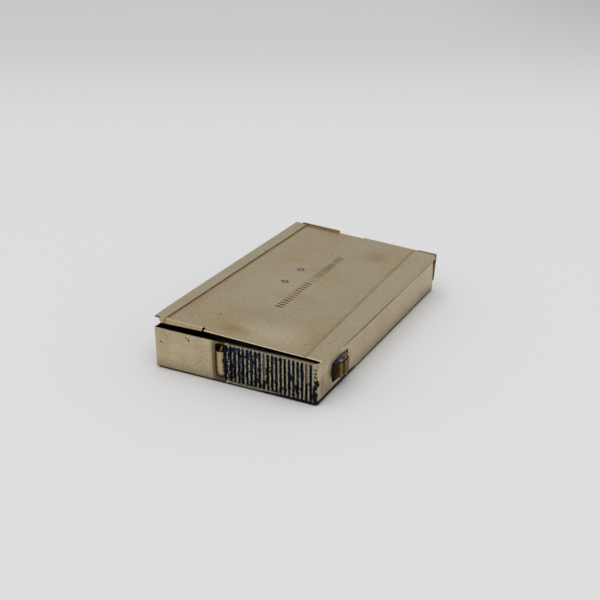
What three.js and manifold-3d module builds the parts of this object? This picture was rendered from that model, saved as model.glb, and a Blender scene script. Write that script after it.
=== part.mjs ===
// Flat pocket striker lighter: a sheet-metal case that feeds a tape of matches
// with a thumbwheel to a window beside a ribbed striker.
// Millimetres. +X points to the thumbwheel side, -Y to the striker, +Z up.
// The origin lies under the middle of the base.
import * as THREE from 'three';
import { mergeVertices } from 'three/addons/utils/BufferGeometryUtils.js';
import Module from 'manifold-3d';

const wasm = await Module();
wasm.setup();

// Case
const caseWidth = 38;
const caseLength = 65;
const caseHeight = 9.3;
const caseSheet = 0.4;
const baseSheet = 0.4;
const insideBend = 0.38;
const rimHeight = 1.3;
const rimSheet = 0.3;

// Clearances
const solderGap = 0.03;
const runningGap = 0.07;
const leafGap = 0.05;

// Striker and window in the front wall
const ribCount = 20;
const ribPitch = 0.9475;
const ribWidth = 0.46;
const ribFlank = 0.05;
const grooveDepth = 0.35;
const strikerLeftMargin = 0.2;
const strikerRightMargin = 0.51;
const strikerTopDrop = 0.05;
const strikerLegSheet = 0.2;
const strikerLegLength = 2;
const windowWidth = 2.25;
const windowSill = 0.4;
const windowRadius = 0.7;
const reliefMargin = 1;

// Thumbwheel and its slot in the right wall
const wheelDepth = 3.2;
const wheelRadius = 4.6;
const wheelTeeth = 16;
const toothDepth = 0.45;
const wheelBottom = 2.5;
const wheelDrop = 3.5;
const discInset = 0.4;
const discThickness = 0.45;
const discChamfer = 0.15;
const discBossRadius = 1.8;
const discBossHeight = 0.5;
const axleRadius = 0.9;
const axleHeadRadius = 1.35;
const axleHeadHeight = 0.4;
const collarRadius = 1.7;
const slotEndClearance = 0.15;
const slotSideClearance = 0.6;
const slotRadius = 0.5;
const thumbDishDepth = 0.14;
const thumbDishLength = 4.4;
const thumbDishFromSlot = 0.6;

// Bridge that carries the top of the axle
const bridgeSheet = 0.5;
const bridgeFoot = 2.4;
const bridgeClearOfWheel = 1.3;
const bridgeClearOfBoss = 0.37;
const bridgeClearOfRim = 0.57;
const bridgeClearOfStriker = 1.77;
const screwHeadRadius = 0.95;
const screwHeadHeight = 0.55;
const screwShankRadius = 0.5;
const screwSlotWidth = 0.25;

// Tape channel behind the striker
const channelWidth = 1.6;
const guideSheet = 0.35;
const guideBend = 3;
const guidePastWindow = 0.95;
const guideDrop = 2.1;
const guideRise = 2.4;
const guideFootLength = 2.8;
const guideFootWidth = 2.6;
const guideFootFromEnd = 1.5;
const rivetInset = 0.3;
const tongueSheet = 0.3;
const tongueDrop = 2.4;
const tongueLap = 0.8;
const tongueStraight = 0.3;
const tongueTurn = 0.9;
const tongueFromGuide = 0.25;
const rivetRadius = 0.45;
const rivetHeadRadius = 0.8;
const rivetHeadHeight = 0.35;
const guidePinRadius = 0.45;
const guidePinDrop = 0.7;
const guidePinInset = 0.2;

// Leaf spring that presses the tape on the thumbwheel
const springSheet = 0.25;
const springPastWheel = 0.7;
const springGap = 0.3;
const springPull = 3.4;
const springBow = 4;
const springToe = 2;
const springToeTurn = 0.6;
const springPostRadius = 0.8;
const springPostFootRadius = 1.1;
const springPostFromWheel = 2.9;
const springPostBehindWheel = 10.3;
const springPostRise = 0.9;

// Spool for the tape
const spoolFromLeftWall = 2.1;
const spoolFromBackWall = 11.6;
const spoolRadius = 13.5;
const spoolFlangeSheet = 0.4;
const spoolFlangeBottom = 1;
const hubRadius = 4.5;
const hubDrop = 1.4;
const hubSlitDepth = 1.6;
const hubSlitWidth = 0.7;
const hubSlitFloor = 0.6;
const postRadius = 1.5;
const postFootRadius = 2.6;
const postDrop = 0.6;
const clipThickness = 0.28;
const clipRadius = 2.4;
const clipGrooveDepth = 0.3;
const clipMouth = 1.9;

// Lid, given as it lies when it is shut
const restTilt = 3.4;
const lidSheet = 0.25;
const railBend = 0.48;
const railOverhang = 0.08;
const leftRailFrontWidth = 2.9;
const leftRailBackWidth = 3.3;
const leftRailFromLip = 0.1;
const rightRailFrontWidth = 3.73;
const rightRailBackWidth = 5.43;
const rightRailFrontSetBack = 1.1;
const rightRailBackSetBack = 1.5;
const panelRightEdge = 1.6;
const panelLeftEdge = 0.7;
const panelLeftSetBack = 0.1;
const panelRightSetBack = 1.15;
const panelBackSetBack = 0.3;
const tabStart = 1.8;
const tabLength = 10.2;
const tabLeftDrop = 0.88;
const tabRightDrop = 0.48;
const tabGap = 0.12;
const tabBend = 0.24;
const lipStart = 1.9;
const lipLength = 10.7;
const lipRise = 0.5;
const flangeLength = 19.5;
const flangeRightSetBack = 0.45;
const flangeBottom = 2.1;
const flangeReturn = 2.7;
const flangeReturnWidth = 2.6;
const flangeReturnGap = 0.1;
const flangeNeck = 0.5;

// Hinge along the right-hand edge
const axisOutside = 0.05;
const axisBelowLid = 0.8;
const knuckleRadius = 0.46;
const pinRadius = 0.18;
const knuckleCount = 7;
const knuckleGap = 0.1;
const hingeFromFront = 12.3;
const leafSheet = 0.24;
const wallBelowBarrel = 0.09;

// Places that follow from the sizes above
const halfWidth = caseWidth / 2;
const front = -caseLength / 2;
const back = caseLength / 2;
const floorTop = baseSheet;
const seat = floorTop + solderGap;
const cornerRadius = caseSheet + insideBend;
const rimInset = caseSheet + solderGap;
const grooveWidth = ribPitch - ribWidth;
const strikerRight = halfWidth - cornerRadius - solderGap;
const firstGroove = strikerRight - strikerRightMargin - grooveWidth - ribCount * ribPitch;
const strikerLeft = firstGroove - strikerLeftMargin;
const strikerBack = front + caseSheet + solderGap + strikerLegSheet;
const wheelX = halfWidth - wheelDepth;
const bridgeReach = wheelRadius + bridgeClearOfWheel;
const wheelY = strikerBack + bridgeClearOfStriker + bridgeFoot + bridgeReach;
const wheelThickness = caseHeight - wheelBottom - wheelDrop;
const discRadius = wheelRadius - discInset;
const discBottom = wheelBottom + wheelThickness + solderGap;
const discTop = discBottom + discThickness;
const wheelChord = 2 * Math.sqrt(wheelRadius ** 2 - (wheelDepth - caseSheet) ** 2);
const slotLength = wheelChord + 2 * slotEndClearance;
const slotBottom = wheelBottom - slotSideClearance;
const slotTop = discTop + slotSideClearance;
const bridgeTop = discTop + discBossHeight + bridgeClearOfBoss + bridgeSheet;
const bridgeWidth = 2 * (wheelDepth - rimInset - rimSheet - bridgeClearOfRim);
const guideLeft = strikerLeft + guidePastWindow;
const guideRight = wheelX - wheelRadius - channelWidth;
const guideY = strikerBack + channelWidth + guideSheet / 2;
const guideTop = caseHeight - guideDrop;
const tongueTop = caseHeight - tongueDrop;
const springBottom = wheelBottom - springPastWheel;
const springTop = wheelBottom + wheelThickness + springPastWheel;
const springPostX = wheelX - wheelRadius - springPostFromWheel;
const springPostY = wheelY + springPostBehindWheel;
const spoolX = caseSheet - halfWidth + spoolFromLeftWall + spoolRadius;
const spoolY = back - caseSheet - spoolFromBackWall - spoolRadius;
const hubTop = caseHeight - hubDrop;
const axisX = halfWidth + axisOutside;
const panelBottom = caseHeight + solderGap;
const panelTop = panelBottom + lidSheet;
const panelRight = halfWidth - panelRightEdge;
const tabLeft = tabStart - halfWidth;
const tabRight = tabLeft + tabLength;
const panelBack = back - panelBackSetBack;
const railBottom = panelTop + solderGap;
const railTop = railBottom + lidSheet;
const rightRailOuter = axisX + axisBelowLid;
const rightRailBack = back - rightRailBackSetBack;
const axisZ = railTop - axisBelowLid;
const hingeFront = front + hingeFromFront;
const hingeBack = rightRailBack;
const knucklePitch = (hingeBack - hingeFront) / knuckleCount;
const barrelWallTop = axisZ - knuckleRadius - wallBelowBarrel;
const leafBottom = slotTop + leafGap;
const roundSteps = 24;
const smallSteps = 16;
const arcSteps = 5;
const through = 1;

// A closed three.js geometry as a solid for joining and cutting.
function solid(geometry) {
  const bare = geometry.clone();
  bare.deleteAttribute('normal');
  bare.deleteAttribute('uv');
  const merged = mergeVertices(bare, 1e-4);
  return new wasm.Manifold(
    new wasm.Mesh({
      numProp: 3,
      vertProperties: merged.attributes.position.array,
      triVerts: new Uint32Array(merged.index.array),
    }),
  );
}

// A solid back as a three.js geometry with flat shading.
function geometryOf(body) {
  const mesh = body.getMesh();
  const geometry = new THREE.BufferGeometry();
  geometry.setAttribute('position', new THREE.BufferAttribute(mesh.vertProperties, 3));
  geometry.setIndex(new THREE.BufferAttribute(mesh.triVerts, 1));
  const flat = geometry.toNonIndexed();
  flat.computeVertexNormals();
  return flat;
}

function joined(...bodies) {
  return bodies.reduce((sum, body) => sum.add(body));
}

// Shape drawn in XY, from height low to height high.
function extrudedUp(shape, low, high) {
  const geometry = new THREE.ExtrudeGeometry(shape, {
    depth: high - low,
    bevelEnabled: false,
    curveSegments: arcSteps,
  });
  return solid(geometry.translate(0, 0, low));
}

// Shape drawn in XZ, from low to high along Y.
function extrudedAlongY(shape, low, high) {
  const geometry = new THREE.ExtrudeGeometry(shape, {
    depth: high - low,
    bevelEnabled: false,
    curveSegments: arcSteps,
  });
  return solid(geometry.rotateX(Math.PI / 2).translate(0, high, 0));
}

// Shape drawn in YZ, from low to high along X.
function extrudedAlongX(shape, low, high) {
  const geometry = new THREE.ExtrudeGeometry(shape, {
    depth: high - low,
    bevelEnabled: false,
    curveSegments: arcSteps,
  });
  const turn = new THREE.Matrix4().set(0, 0, 1, 0, 1, 0, 0, 0, 0, 1, 0, 0, 0, 0, 0, 1);
  return solid(geometry.applyMatrix4(turn).translate(low, 0, 0));
}

function block(xLow, xHigh, yLow, yHigh, zLow, zHigh) {
  const geometry = new THREE.BoxGeometry(xHigh - xLow, yHigh - yLow, zHigh - zLow);
  return solid(
    geometry.translate((xLow + xHigh) / 2, (yLow + yHigh) / 2, (zLow + zHigh) / 2),
  );
}

function upright(x, y, radius, low, high, steps = roundSteps) {
  const geometry = new THREE.CylinderGeometry(radius, radius, high - low, steps);
  return solid(geometry.rotateX(Math.PI / 2).translate(x, y, (low + high) / 2));
}

function alongY(x, z, radius, low, high, steps = smallSteps) {
  const geometry = new THREE.CylinderGeometry(radius, radius, high - low, steps);
  return solid(geometry.translate(x, (low + high) / 2, z));
}

// Profile of [radius, height] pairs turned about an upright axis.
function turned(profile, steps = roundSteps) {
  const points = profile.map(([radius, height]) => new THREE.Vector2(radius, height));
  return solid(new THREE.LatheGeometry(points, steps).rotateX(Math.PI / 2));
}

function polygon(corners) {
  return new THREE.Shape(corners.map(([a, b]) => new THREE.Vector2(a, b)));
}

function roundedRectangle(aLow, aHigh, bLow, bHigh, radius, ShapeClass = THREE.Shape) {
  const shape = new ShapeClass();
  shape.absarc(aHigh - radius, bLow + radius, radius, -Math.PI / 2, 0);
  shape.absarc(aHigh - radius, bHigh - radius, radius, 0, Math.PI / 2);
  shape.absarc(aLow + radius, bHigh - radius, radius, Math.PI / 2, Math.PI);
  shape.absarc(aLow + radius, bLow + radius, radius, Math.PI, 1.5 * Math.PI);
  shape.closePath();
  return shape;
}

// Rounded outline of a case part that lies a given distance inside the outer face.
function caseOutline(inset, ShapeClass = THREE.Shape) {
  return roundedRectangle(
    inset - halfWidth,
    halfWidth - inset,
    front + inset,
    back - inset,
    cornerRadius - inset,
    ShapeClass,
  );
}

// Strip of constant thickness along a path, as a shape in the path's plane.
function strip(path, thickness, divisions = arcSteps) {
  const points = path.getPoints(divisions);
  const count = points.length;
  const offset = (side) =>
    points.map((point, i) => {
      const before = points[Math.max(i - 1, 0)];
      const after = points[Math.min(i + 1, count - 1)];
      const inward = point.clone().sub(before);
      const outward = after.clone().sub(point);
      const first = (inward.length() > 0 ? inward : outward).normalize();
      const second = (outward.length() > 0 ? outward : inward).normalize();
      const normal = new THREE.Vector2(-first.y - second.y, first.x + second.x).normalize();
      const reach = thickness / 2 / Math.max(normal.dot(new THREE.Vector2(-first.y, first.x)), 0.4);
      return point.clone().addScaledVector(normal, side * reach);
    });
  return new THREE.Shape([...offset(-1), ...offset(1).reverse()]);
}

// Finishes
const finish = {
  nickel: { color: 0xa79b7c, roughness: 0.38, metalness: 1 },
  nickelBright: { color: 0xb8ae92, roughness: 0.3, metalness: 1 },
  nickelDull: { color: 0x8f866c, roughness: 0.5, metalness: 1 },
  brass: { color: 0xa8813a, roughness: 0.35, metalness: 1 },
  steel: { color: 0x5f6063, roughness: 0.4, metalness: 1 },
  springSteel: { color: 0x3e4248, roughness: 0.35, metalness: 1 },
};

function mesh(name, body, finishName) {
  const made = new THREE.Mesh(
    geometryOf(body),
    new THREE.MeshStandardMaterial(finish[finishName]),
  );
  made.name = name;
  return made;
}

// Floor of the case with an upturned rim that locates the walls.
function basePlate() {
  const floor = extrudedUp(caseOutline(0), 0, floorTop);
  const inset = rimInset + rimSheet;
  const rim = extrudedUp(caseOutline(rimInset), floorTop / 2, rimHeight);
  const room = block(
    inset - halfWidth,
    halfWidth - inset,
    front + inset,
    back - inset,
    -through,
    rimHeight + through,
  );
  const strikerRelief = block(
    strikerLeft - windowWidth - reliefMargin,
    halfWidth + through,
    front - through,
    strikerBack + strikerLegLength + reliefMargin,
    floorTop,
    rimHeight + through,
  );
  return floor.add(rim.subtract(room).subtract(strikerRelief));
}

// Wall band bent round the case, open where the striker fills it.
function caseWall() {
  const bandShape = caseOutline(0);
  bandShape.holes.push(caseOutline(caseSheet, THREE.Path));
  const band = extrudedUp(bandShape, seat, caseHeight);
  const strikerGap = block(
    strikerLeft - solderGap,
    strikerRight + solderGap,
    front - through,
    front + caseSheet + through,
    0,
    caseHeight + through,
  );
  const window = extrudedAlongY(
    roundedRectangle(
      strikerLeft - windowWidth,
      strikerLeft + windowWidth,
      seat + windowSill,
      caseHeight - windowSill,
      windowRadius,
    ),
    front - through,
    front + caseSheet + through,
  );
  const wheelSlot = extrudedAlongX(
    roundedRectangle(
      wheelY - slotLength / 2,
      wheelY + slotLength / 2,
      slotBottom,
      slotTop,
      slotRadius,
    ),
    halfWidth - caseSheet - through,
    halfWidth + through,
  );
  const barrelStep = block(
    halfWidth - caseSheet - through,
    halfWidth + through,
    hingeFront - knuckleGap,
    hingeBack + knuckleGap,
    barrelWallTop,
    caseHeight + through,
  );
  return band
    .subtract(strikerGap)
    .subtract(window)
    .subtract(wheelSlot)
    .subtract(barrelStep)
    .subtract(thumbDish());
}

// Shallow dish beside the slot, where the thumb starts its stroke.
function thumbDish() {
  const half = thumbDishLength / 2;
  const radius = (half * half + thumbDishDepth * thumbDishDepth) / (2 * thumbDishDepth);
  const ball = new THREE.SphereGeometry(radius, 120, 60);
  ball.translate(
    halfWidth - thumbDishDepth + radius,
    wheelY - slotLength / 2 - thumbDishFromSlot,
    (slotBottom + slotTop) / 2,
  );
  return solid(ball);
}

// Ribbed striker, flush with the front wall, with a leg tucked inside the corner.
function strikerPlate() {
  const crest = front;
  const groove = front + grooveDepth;
  const legOuter = halfWidth - caseSheet - solderGap;
  const legInner = legOuter - strikerLegSheet;
  const bendX = halfWidth - cornerRadius;
  const bendY = front + cornerRadius;
  const outerBend = legOuter - bendX;
  const innerBend = legInner - bendX;
  const shape = new THREE.Shape();
  shape.moveTo(strikerLeft, groove);
  for (let i = 0; i < ribCount; i++) {
    const ribLeft = firstGroove + grooveWidth + i * ribPitch;
    const ribRight = ribLeft + ribWidth;
    shape.lineTo(ribLeft - ribFlank, groove);
    shape.lineTo(ribLeft, crest);
    shape.lineTo(ribRight, crest);
    shape.lineTo(ribRight + ribFlank, groove);
  }
  shape.lineTo(strikerRight - strikerRightMargin - ribFlank, groove);
  shape.lineTo(strikerRight - strikerRightMargin, crest);
  shape.lineTo(strikerRight, crest);
  shape.lineTo(strikerRight, bendY - outerBend);
  shape.lineTo(bendX, bendY - outerBend);
  shape.absarc(bendX, bendY, outerBend, -Math.PI / 2, 0);
  shape.lineTo(legOuter, bendY + strikerLegLength);
  shape.lineTo(legInner, bendY + strikerLegLength);
  shape.absarc(bendX, bendY, innerBend, 0, -Math.PI / 2, true);
  shape.lineTo(strikerLeft, strikerBack);
  return extrudedUp(shape, seat, caseHeight - strikerTopDrop);
}

// Plate inside the window that turns the tape outwards.
function windowTongue() {
  const wallInside = front + caseSheet + leafGap + tongueSheet / 2;
  const windowLeft = strikerLeft - windowWidth;
  const turn = new THREE.Vector2(guideLeft - tongueTurn, guideY - tongueTurn);
  const path = new THREE.Path();
  path.moveTo(windowLeft - tongueLap, wallInside);
  path.lineTo(windowLeft + tongueStraight, wallInside);
  path.quadraticCurveTo((windowLeft + turn.x) / 2 + tongueStraight, wallInside, turn.x, turn.y);
  path.lineTo(guideLeft - tongueFromGuide, guideY);
  return extrudedUp(strip(path, tongueSheet), seat, tongueTop);
}

function guidePin() {
  const x = strikerLeft - windowWidth / 2;
  const y = guideY - guidePinInset;
  return upright(x, y, guidePinRadius, seat, caseHeight - guidePinDrop, smallSteps);
}

// Inner wall of the tape channel: along the striker, round a bend, up to the wheel.
function tapeGuide() {
  const path = new THREE.Path();
  path.moveTo(guideLeft, guideY);
  path.lineTo(guideRight - guideBend, guideY);
  path.absarc(guideRight - guideBend, guideY + guideBend, guideBend, -Math.PI / 2, 0);
  path.lineTo(guideRight, guideY + guideBend + guideRise);
  const wall = extrudedUp(strip(path, guideSheet, 8), seat, guideTop);
  const feet = guideFeet().map(({ xLow, xHigh, yLow, yHigh, x, y }) =>
    block(xLow, xHigh, yLow, yHigh, seat, seat + guideSheet).subtract(
      upright(x, y, rivetRadius + runningGap, 0, guideTop, smallSteps),
    ),
  );
  return joined(wall, ...feet);
}

// Footprints of the guide's two feet, with their rivet holes.
function guideFeet() {
  const left = {
    xLow: guideLeft + guideFootFromEnd,
    xHigh: guideLeft + guideFootFromEnd + guideFootLength,
    yLow: guideY,
    yHigh: guideY + guideFootWidth,
  };
  const right = {
    xLow: guideRight - guideFootWidth,
    xHigh: guideRight,
    yLow: guideY + guideBend,
    yHigh: guideY + guideBend + guideRise,
  };
  return [left, right].map((foot) => ({
    ...foot,
    x: (foot.xLow + foot.xHigh) / 2 - (foot === right ? rivetInset : 0),
    y: (foot.yLow + foot.yHigh) / 2 + (foot === left ? rivetInset : 0),
  }));
}

// Shank through a sheet and a domed head above it.
function rivet({ x, y }) {
  const underHead = seat + guideSheet + solderGap;
  const profile = [
    [0, seat],
    [rivetRadius, seat],
    [rivetRadius, underHead],
    [rivetHeadRadius, underHead],
    [0.8 * rivetHeadRadius, underHead + 0.7 * rivetHeadHeight],
    [0, underHead + rivetHeadHeight],
  ];
  return turned(profile, smallSteps).translate([x, y, 0]);
}

// Strap over the thumbwheel with a screwed foot at each end.
function wheelBridge() {
  const low = seat + bridgeSheet / 2;
  const high = bridgeTop - bridgeSheet / 2;
  const path = new THREE.Path();
  path.moveTo(wheelY - bridgeReach - bridgeFoot, low);
  path.lineTo(wheelY - bridgeReach, low);
  path.lineTo(wheelY - bridgeReach, high);
  path.lineTo(wheelY + bridgeReach, high);
  path.lineTo(wheelY + bridgeReach, low);
  path.lineTo(wheelY + bridgeReach + bridgeFoot, low);
  const strap = extrudedAlongX(
    strip(path, bridgeSheet),
    wheelX - bridgeWidth / 2,
    wheelX + bridgeWidth / 2,
  );
  const bore = upright(wheelX, wheelY, axleRadius + leafGap, wheelBottom, bridgeTop + through);
  const screwHoles = bridgeScrewPlaces().map((y) =>
    upright(wheelX, y, screwShankRadius + leafGap, 0, wheelBottom, smallSteps),
  );
  return strap.subtract(joined(bore, ...screwHoles));
}

function bridgeScrewPlaces() {
  const fromWheel = bridgeReach + (bridgeSheet / 2 + bridgeFoot) / 2;
  return [wheelY - fromWheel, wheelY + fromWheel];
}

function bridgeScrew(y) {
  const underHead = seat + bridgeSheet + solderGap;
  const profile = [
    [0, seat],
    [screwShankRadius, seat],
    [screwShankRadius, underHead],
    [screwHeadRadius, underHead],
    [screwHeadRadius, underHead + 0.6 * screwHeadHeight],
    [0.7 * screwHeadRadius, underHead + screwHeadHeight],
    [0, underHead + screwHeadHeight],
  ];
  const slot = block(
    -screwHeadRadius - through,
    screwHeadRadius + through,
    -screwSlotWidth / 2,
    screwSlotWidth / 2,
    underHead + 0.45 * screwHeadHeight,
    underHead + 2 * screwHeadHeight,
  );
  return turned(profile, smallSteps).subtract(slot).translate([wheelX, y, 0]);
}

function wheelAxle() {
  const underHead = bridgeTop + solderGap;
  const profile = [
    [0, seat],
    [axleRadius, seat],
    [axleRadius, underHead],
    [axleHeadRadius, underHead],
    [0.75 * axleHeadRadius, underHead + axleHeadHeight],
    [0, underHead + axleHeadHeight],
  ];
  return turned(profile).translate([wheelX, wheelY, 0]);
}

// Collar that holds the thumbwheel at the height of its slot.
function wheelCollar() {
  const bore = axleRadius + leafGap;
  const top = wheelBottom - runningGap;
  const profile = [
    [bore, seat],
    [collarRadius, seat],
    [collarRadius, top],
    [bore, top],
    [bore, seat],
  ];
  return turned(profile).translate([wheelX, wheelY, 0]);
}

// Coarse-toothed brass wheel, drawn about its own axis.
function thumbwheel() {
  const shape = new THREE.Shape();
  const root = wheelRadius - toothDepth;
  const step = (2 * Math.PI) / wheelTeeth;
  for (let i = 0; i < wheelTeeth; i++) {
    const flank = [
      [root, -0.36],
      [wheelRadius, -0.17],
      [wheelRadius, 0.17],
      [root, 0.36],
    ];
    flank.forEach(([radius, share], k) => {
      const angle = (i + share) * step;
      const x = radius * Math.cos(angle);
      const y = radius * Math.sin(angle);
      if (i === 0 && k === 0) shape.moveTo(x, y);
      else shape.lineTo(x, y);
    });
  }
  const bore = new THREE.Path();
  bore.absarc(0, 0, axleRadius + runningGap, 0, 2 * Math.PI, true);
  shape.holes.push(bore);
  return extrudedUp(shape, wheelBottom, wheelBottom + wheelThickness);
}

// Steel disc fixed on the wheel, with the boss that runs under the bridge.
function feedDisc() {
  const bore = axleRadius + runningGap;
  const profile = [
    [bore, discBottom],
    [discRadius, discBottom],
    [discRadius, discTop - discChamfer],
    [discRadius - discChamfer, discTop],
    [discBossRadius, discTop],
    [discBossRadius, discTop + discBossHeight],
    [bore, discTop + discBossHeight],
    [bore, discBottom],
  ];
  return turned(profile, 2 * roundSteps);
}

function springPost() {
  const top = springTop + springPostRise;
  const profile = [
    [0, seat],
    [springPostFootRadius, seat],
    [springPostFootRadius, springBottom - solderGap],
    [springPostRadius, springBottom - solderGap],
    [springPostRadius, top],
    [0, top],
  ];
  return turned(profile, smallSteps).translate([springPostX, springPostY, 0]);
}

// Leaf spring: an eye round its post, a bow against the wheel and a turned-out end.
function pressureSpring() {
  const eye = springPostRadius + runningGap + springSheet / 2;
  const bowX = wheelX - wheelRadius - springGap - springSheet / 2;
  const path = new THREE.Path();
  path.absarc(springPostX, springPostY, eye, (5 / 3) * Math.PI, 0, true);
  const eyePoints = path.getPoints(14);
  const start = new THREE.Vector2(springPostX + eye, springPostY);
  const blade = new THREE.CubicBezierCurve(
    start,
    new THREE.Vector2(start.x, start.y - springPull),
    new THREE.Vector2(bowX, wheelY + springBow),
    new THREE.Vector2(bowX, wheelY),
  ).getPoints(10);
  const toe = new THREE.QuadraticBezierCurve(
    new THREE.Vector2(bowX, wheelY),
    new THREE.Vector2(bowX, wheelY - springToe / 2),
    new THREE.Vector2(bowX - springToeTurn, wheelY - springToe),
  ).getPoints(4);
  const line = new THREE.Path([...eyePoints, ...blade.slice(1), ...toe.slice(1)]);
  return extrudedUp(strip(line, springSheet, 1), springBottom, springTop);
}

function spoolPost() {
  const grooveLow = hubTop + runningGap;
  const grooveHigh = grooveLow + clipThickness + 2 * solderGap;
  const grooveRadius = postRadius - clipGrooveDepth;
  const postTop = caseHeight - postDrop;
  const profile = [
    [0, seat],
    [postFootRadius, seat],
    [postFootRadius, spoolFlangeBottom - runningGap],
    [postRadius, spoolFlangeBottom - runningGap],
    [postRadius, grooveLow],
    [grooveRadius, grooveLow],
    [grooveRadius, grooveHigh],
    [postRadius, grooveHigh],
    [0.85 * postRadius, postTop],
    [0, postTop],
  ];
  return turned(profile).translate([spoolX, spoolY, 0]);
}

// Spring clip that snaps into the groove of the post.
function spoolClip() {
  const low = hubTop + runningGap + solderGap;
  const inner = postRadius - clipGrooveDepth + solderGap;
  const profile = [
    [inner, low],
    [clipRadius, low],
    [clipRadius, low + clipThickness],
    [inner, low + clipThickness],
    [inner, low],
  ];
  const mouth = block(
    -clipMouth / 2,
    clipMouth / 2,
    -clipRadius - through,
    0,
    low - through,
    low + clipThickness + through,
  );
  return turned(profile).subtract(mouth).translate([spoolX, spoolY, 0]);
}

function spoolFlange() {
  const bore = postRadius + runningGap;
  const top = spoolFlangeBottom + spoolFlangeSheet;
  const profile = [
    [bore, spoolFlangeBottom],
    [spoolRadius, spoolFlangeBottom],
    [spoolRadius, top],
    [bore, top],
    [bore, spoolFlangeBottom],
  ];
  return turned(profile, 2 * roundSteps);
}

// Drum with a slit that holds the end of the tape.
function spoolHub() {
  const bore = postRadius + runningGap;
  const low = spoolFlangeBottom + spoolFlangeSheet + solderGap;
  const profile = [
    [bore, low],
    [hubRadius, low],
    [hubRadius, hubTop],
    [bore, hubTop],
    [bore, low],
  ];
  const slit = block(
    hubRadius - hubSlitDepth,
    hubRadius + through,
    -hubSlitWidth / 2,
    hubSlitWidth / 2,
    low + hubSlitFloor,
    hubTop + through,
  );
  return turned(profile, 2 * roundSteps).subtract(slit);
}

// Ends of knuckle number i along the hinge.
function knuckleSpan(i) {
  const low = hingeFront + i * knucklePitch + knuckleGap / 2;
  return [low, low + knucklePitch - knuckleGap];
}

function hingeBore() {
  return alongY(
    axisX,
    axisZ,
    pinRadius + runningGap,
    hingeFront - through,
    hingeBack + through,
  );
}

// Leaf soldered inside the right wall; it carries every other knuckle.
function caseHingeLeaf() {
  const outer = halfWidth - caseSheet - solderGap;
  const inner = outer - leafSheet;
  let body = block(inner, outer, hingeFront, hingeBack, leafBottom, barrelWallTop);
  for (let i = 0; i < knuckleCount; i += 2) {
    const [low, high] = knuckleSpan(i);
    const barrel = alongY(axisX, axisZ, knuckleRadius, low, high);
    const riser = block(inner, outer, low, high, leafBottom, axisZ);
    const bridge = block(inner, axisX - pinRadius, low, high, barrelWallTop + leafGap, axisZ);
    body = joined(body, riser, bridge, barrel);
  }
  return body.subtract(hingeBore());
}

// Leaf soldered under the right rail; it carries the knuckles in between.
function lidHingeLeaf() {
  const inner = panelRight + leafGap;
  const clearOfBarrel = axisX - knuckleRadius - 2 * runningGap;
  const bottom = panelTop - leafSheet;
  let body = block(inner, clearOfBarrel, hingeFront, hingeBack, bottom, panelTop);
  for (let i = 1; i < knuckleCount; i += 2) {
    const [low, high] = knuckleSpan(i);
    const barrel = alongY(axisX, axisZ, knuckleRadius, low, high);
    const tongue = block(inner, axisX, low, high, bottom, panelTop);
    body = joined(body, tongue, barrel);
  }
  return body.subtract(hingeBore());
}

function hingePin() {
  return alongY(axisX, axisZ, pinRadius, hingeFront, hingeBack);
}

// Quarter of a tube wall in XZ about a centre, from one angle to another.
function quarterRing(x, z, outer, inner, from, to) {
  const shape = new THREE.Shape();
  shape.absarc(x, z, outer, from, to, false);
  shape.absarc(x, z, inner, to, from, true);
  shape.closePath();
  return shape;
}

// Left rail: a strip with a rolled outer edge; its inner edge runs slightly askew.
function leftRail() {
  const outer = -halfWidth - railOverhang;
  const bendX = outer + railBend;
  const bendZ = railTop - railBend;
  const low = front + solderGap;
  const high = panelBack - lidSheet - leftRailFromLip;
  const top = extrudedUp(
    polygon([
      [bendX, low],
      [outer + leftRailFrontWidth, low],
      [outer + leftRailBackWidth, high],
      [bendX, high],
    ]),
    railBottom,
    railTop,
  );
  const bend = extrudedAlongY(
    quarterRing(bendX, bendZ, railBend, railBend - lidSheet, Math.PI / 2, Math.PI),
    low,
    high,
  );
  return top.add(bend);
}

// Right rail: a strip that rolls over the hinge barrel.
function rightRail() {
  const low = front + rightRailFrontSetBack;
  const top = extrudedUp(
    polygon([
      [rightRailOuter - rightRailFrontWidth, low],
      [axisX, low],
      [axisX, rightRailBack],
      [rightRailOuter - rightRailBackWidth, rightRailBack],
    ]),
    railBottom,
    railTop,
  );
  const roll = extrudedAlongY(
    quarterRing(axisX, axisZ, axisBelowLid, axisBelowLid - lidSheet, 0, Math.PI / 2),
    low,
    rightRailBack,
  );
  return top.add(roll);
}

// Middle panel, notched for the back flange, with its front catch and its back lip.
function coverPanel() {
  const left = panelLeftEdge - halfWidth;
  const notchLeft = panelRight - flangeReturnWidth - flangeReturnGap;
  const notchFront = panelBack - flangeReturn - flangeReturnGap;
  const plate = extrudedUp(
    polygon([
      [left, front + panelLeftSetBack],
      [tabRight, front + panelLeftSetBack],
      [panelRight, front + panelRightSetBack],
      [panelRight, notchFront],
      [notchLeft, notchFront],
      [notchLeft, panelBack],
      [left, panelBack],
    ]),
    panelBottom,
    panelTop,
  );
  return joined(plate, frontCatch(), backLip());
}

// Tab that turns down over the front wall, trimmed shorter towards the window.
function frontCatch() {
  const middle = (panelBottom + panelTop) / 2;
  const tabY = front - tabGap - lidSheet / 2;
  const path = new THREE.Path();
  path.moveTo(front + 2 * panelRightSetBack, middle);
  path.lineTo(tabY + tabBend, middle);
  path.absarc(tabY + tabBend, middle - tabBend, tabBend, Math.PI / 2, Math.PI, false);
  path.lineTo(tabY, panelTop - tabLeftDrop - through);
  const belowTab = polygon([
    [tabLeft, panelTop - tabLeftDrop],
    [tabLeft, panelTop - tabLeftDrop - 2 * through],
    [tabRight, panelTop - tabLeftDrop - 2 * through],
    [tabRight, panelTop - tabRightDrop],
  ]);
  return extrudedAlongX(strip(path, lidSheet), tabLeft, tabRight).subtract(
    extrudedAlongY(belowTab, tabY - through, tabY + through),
  );
}

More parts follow.
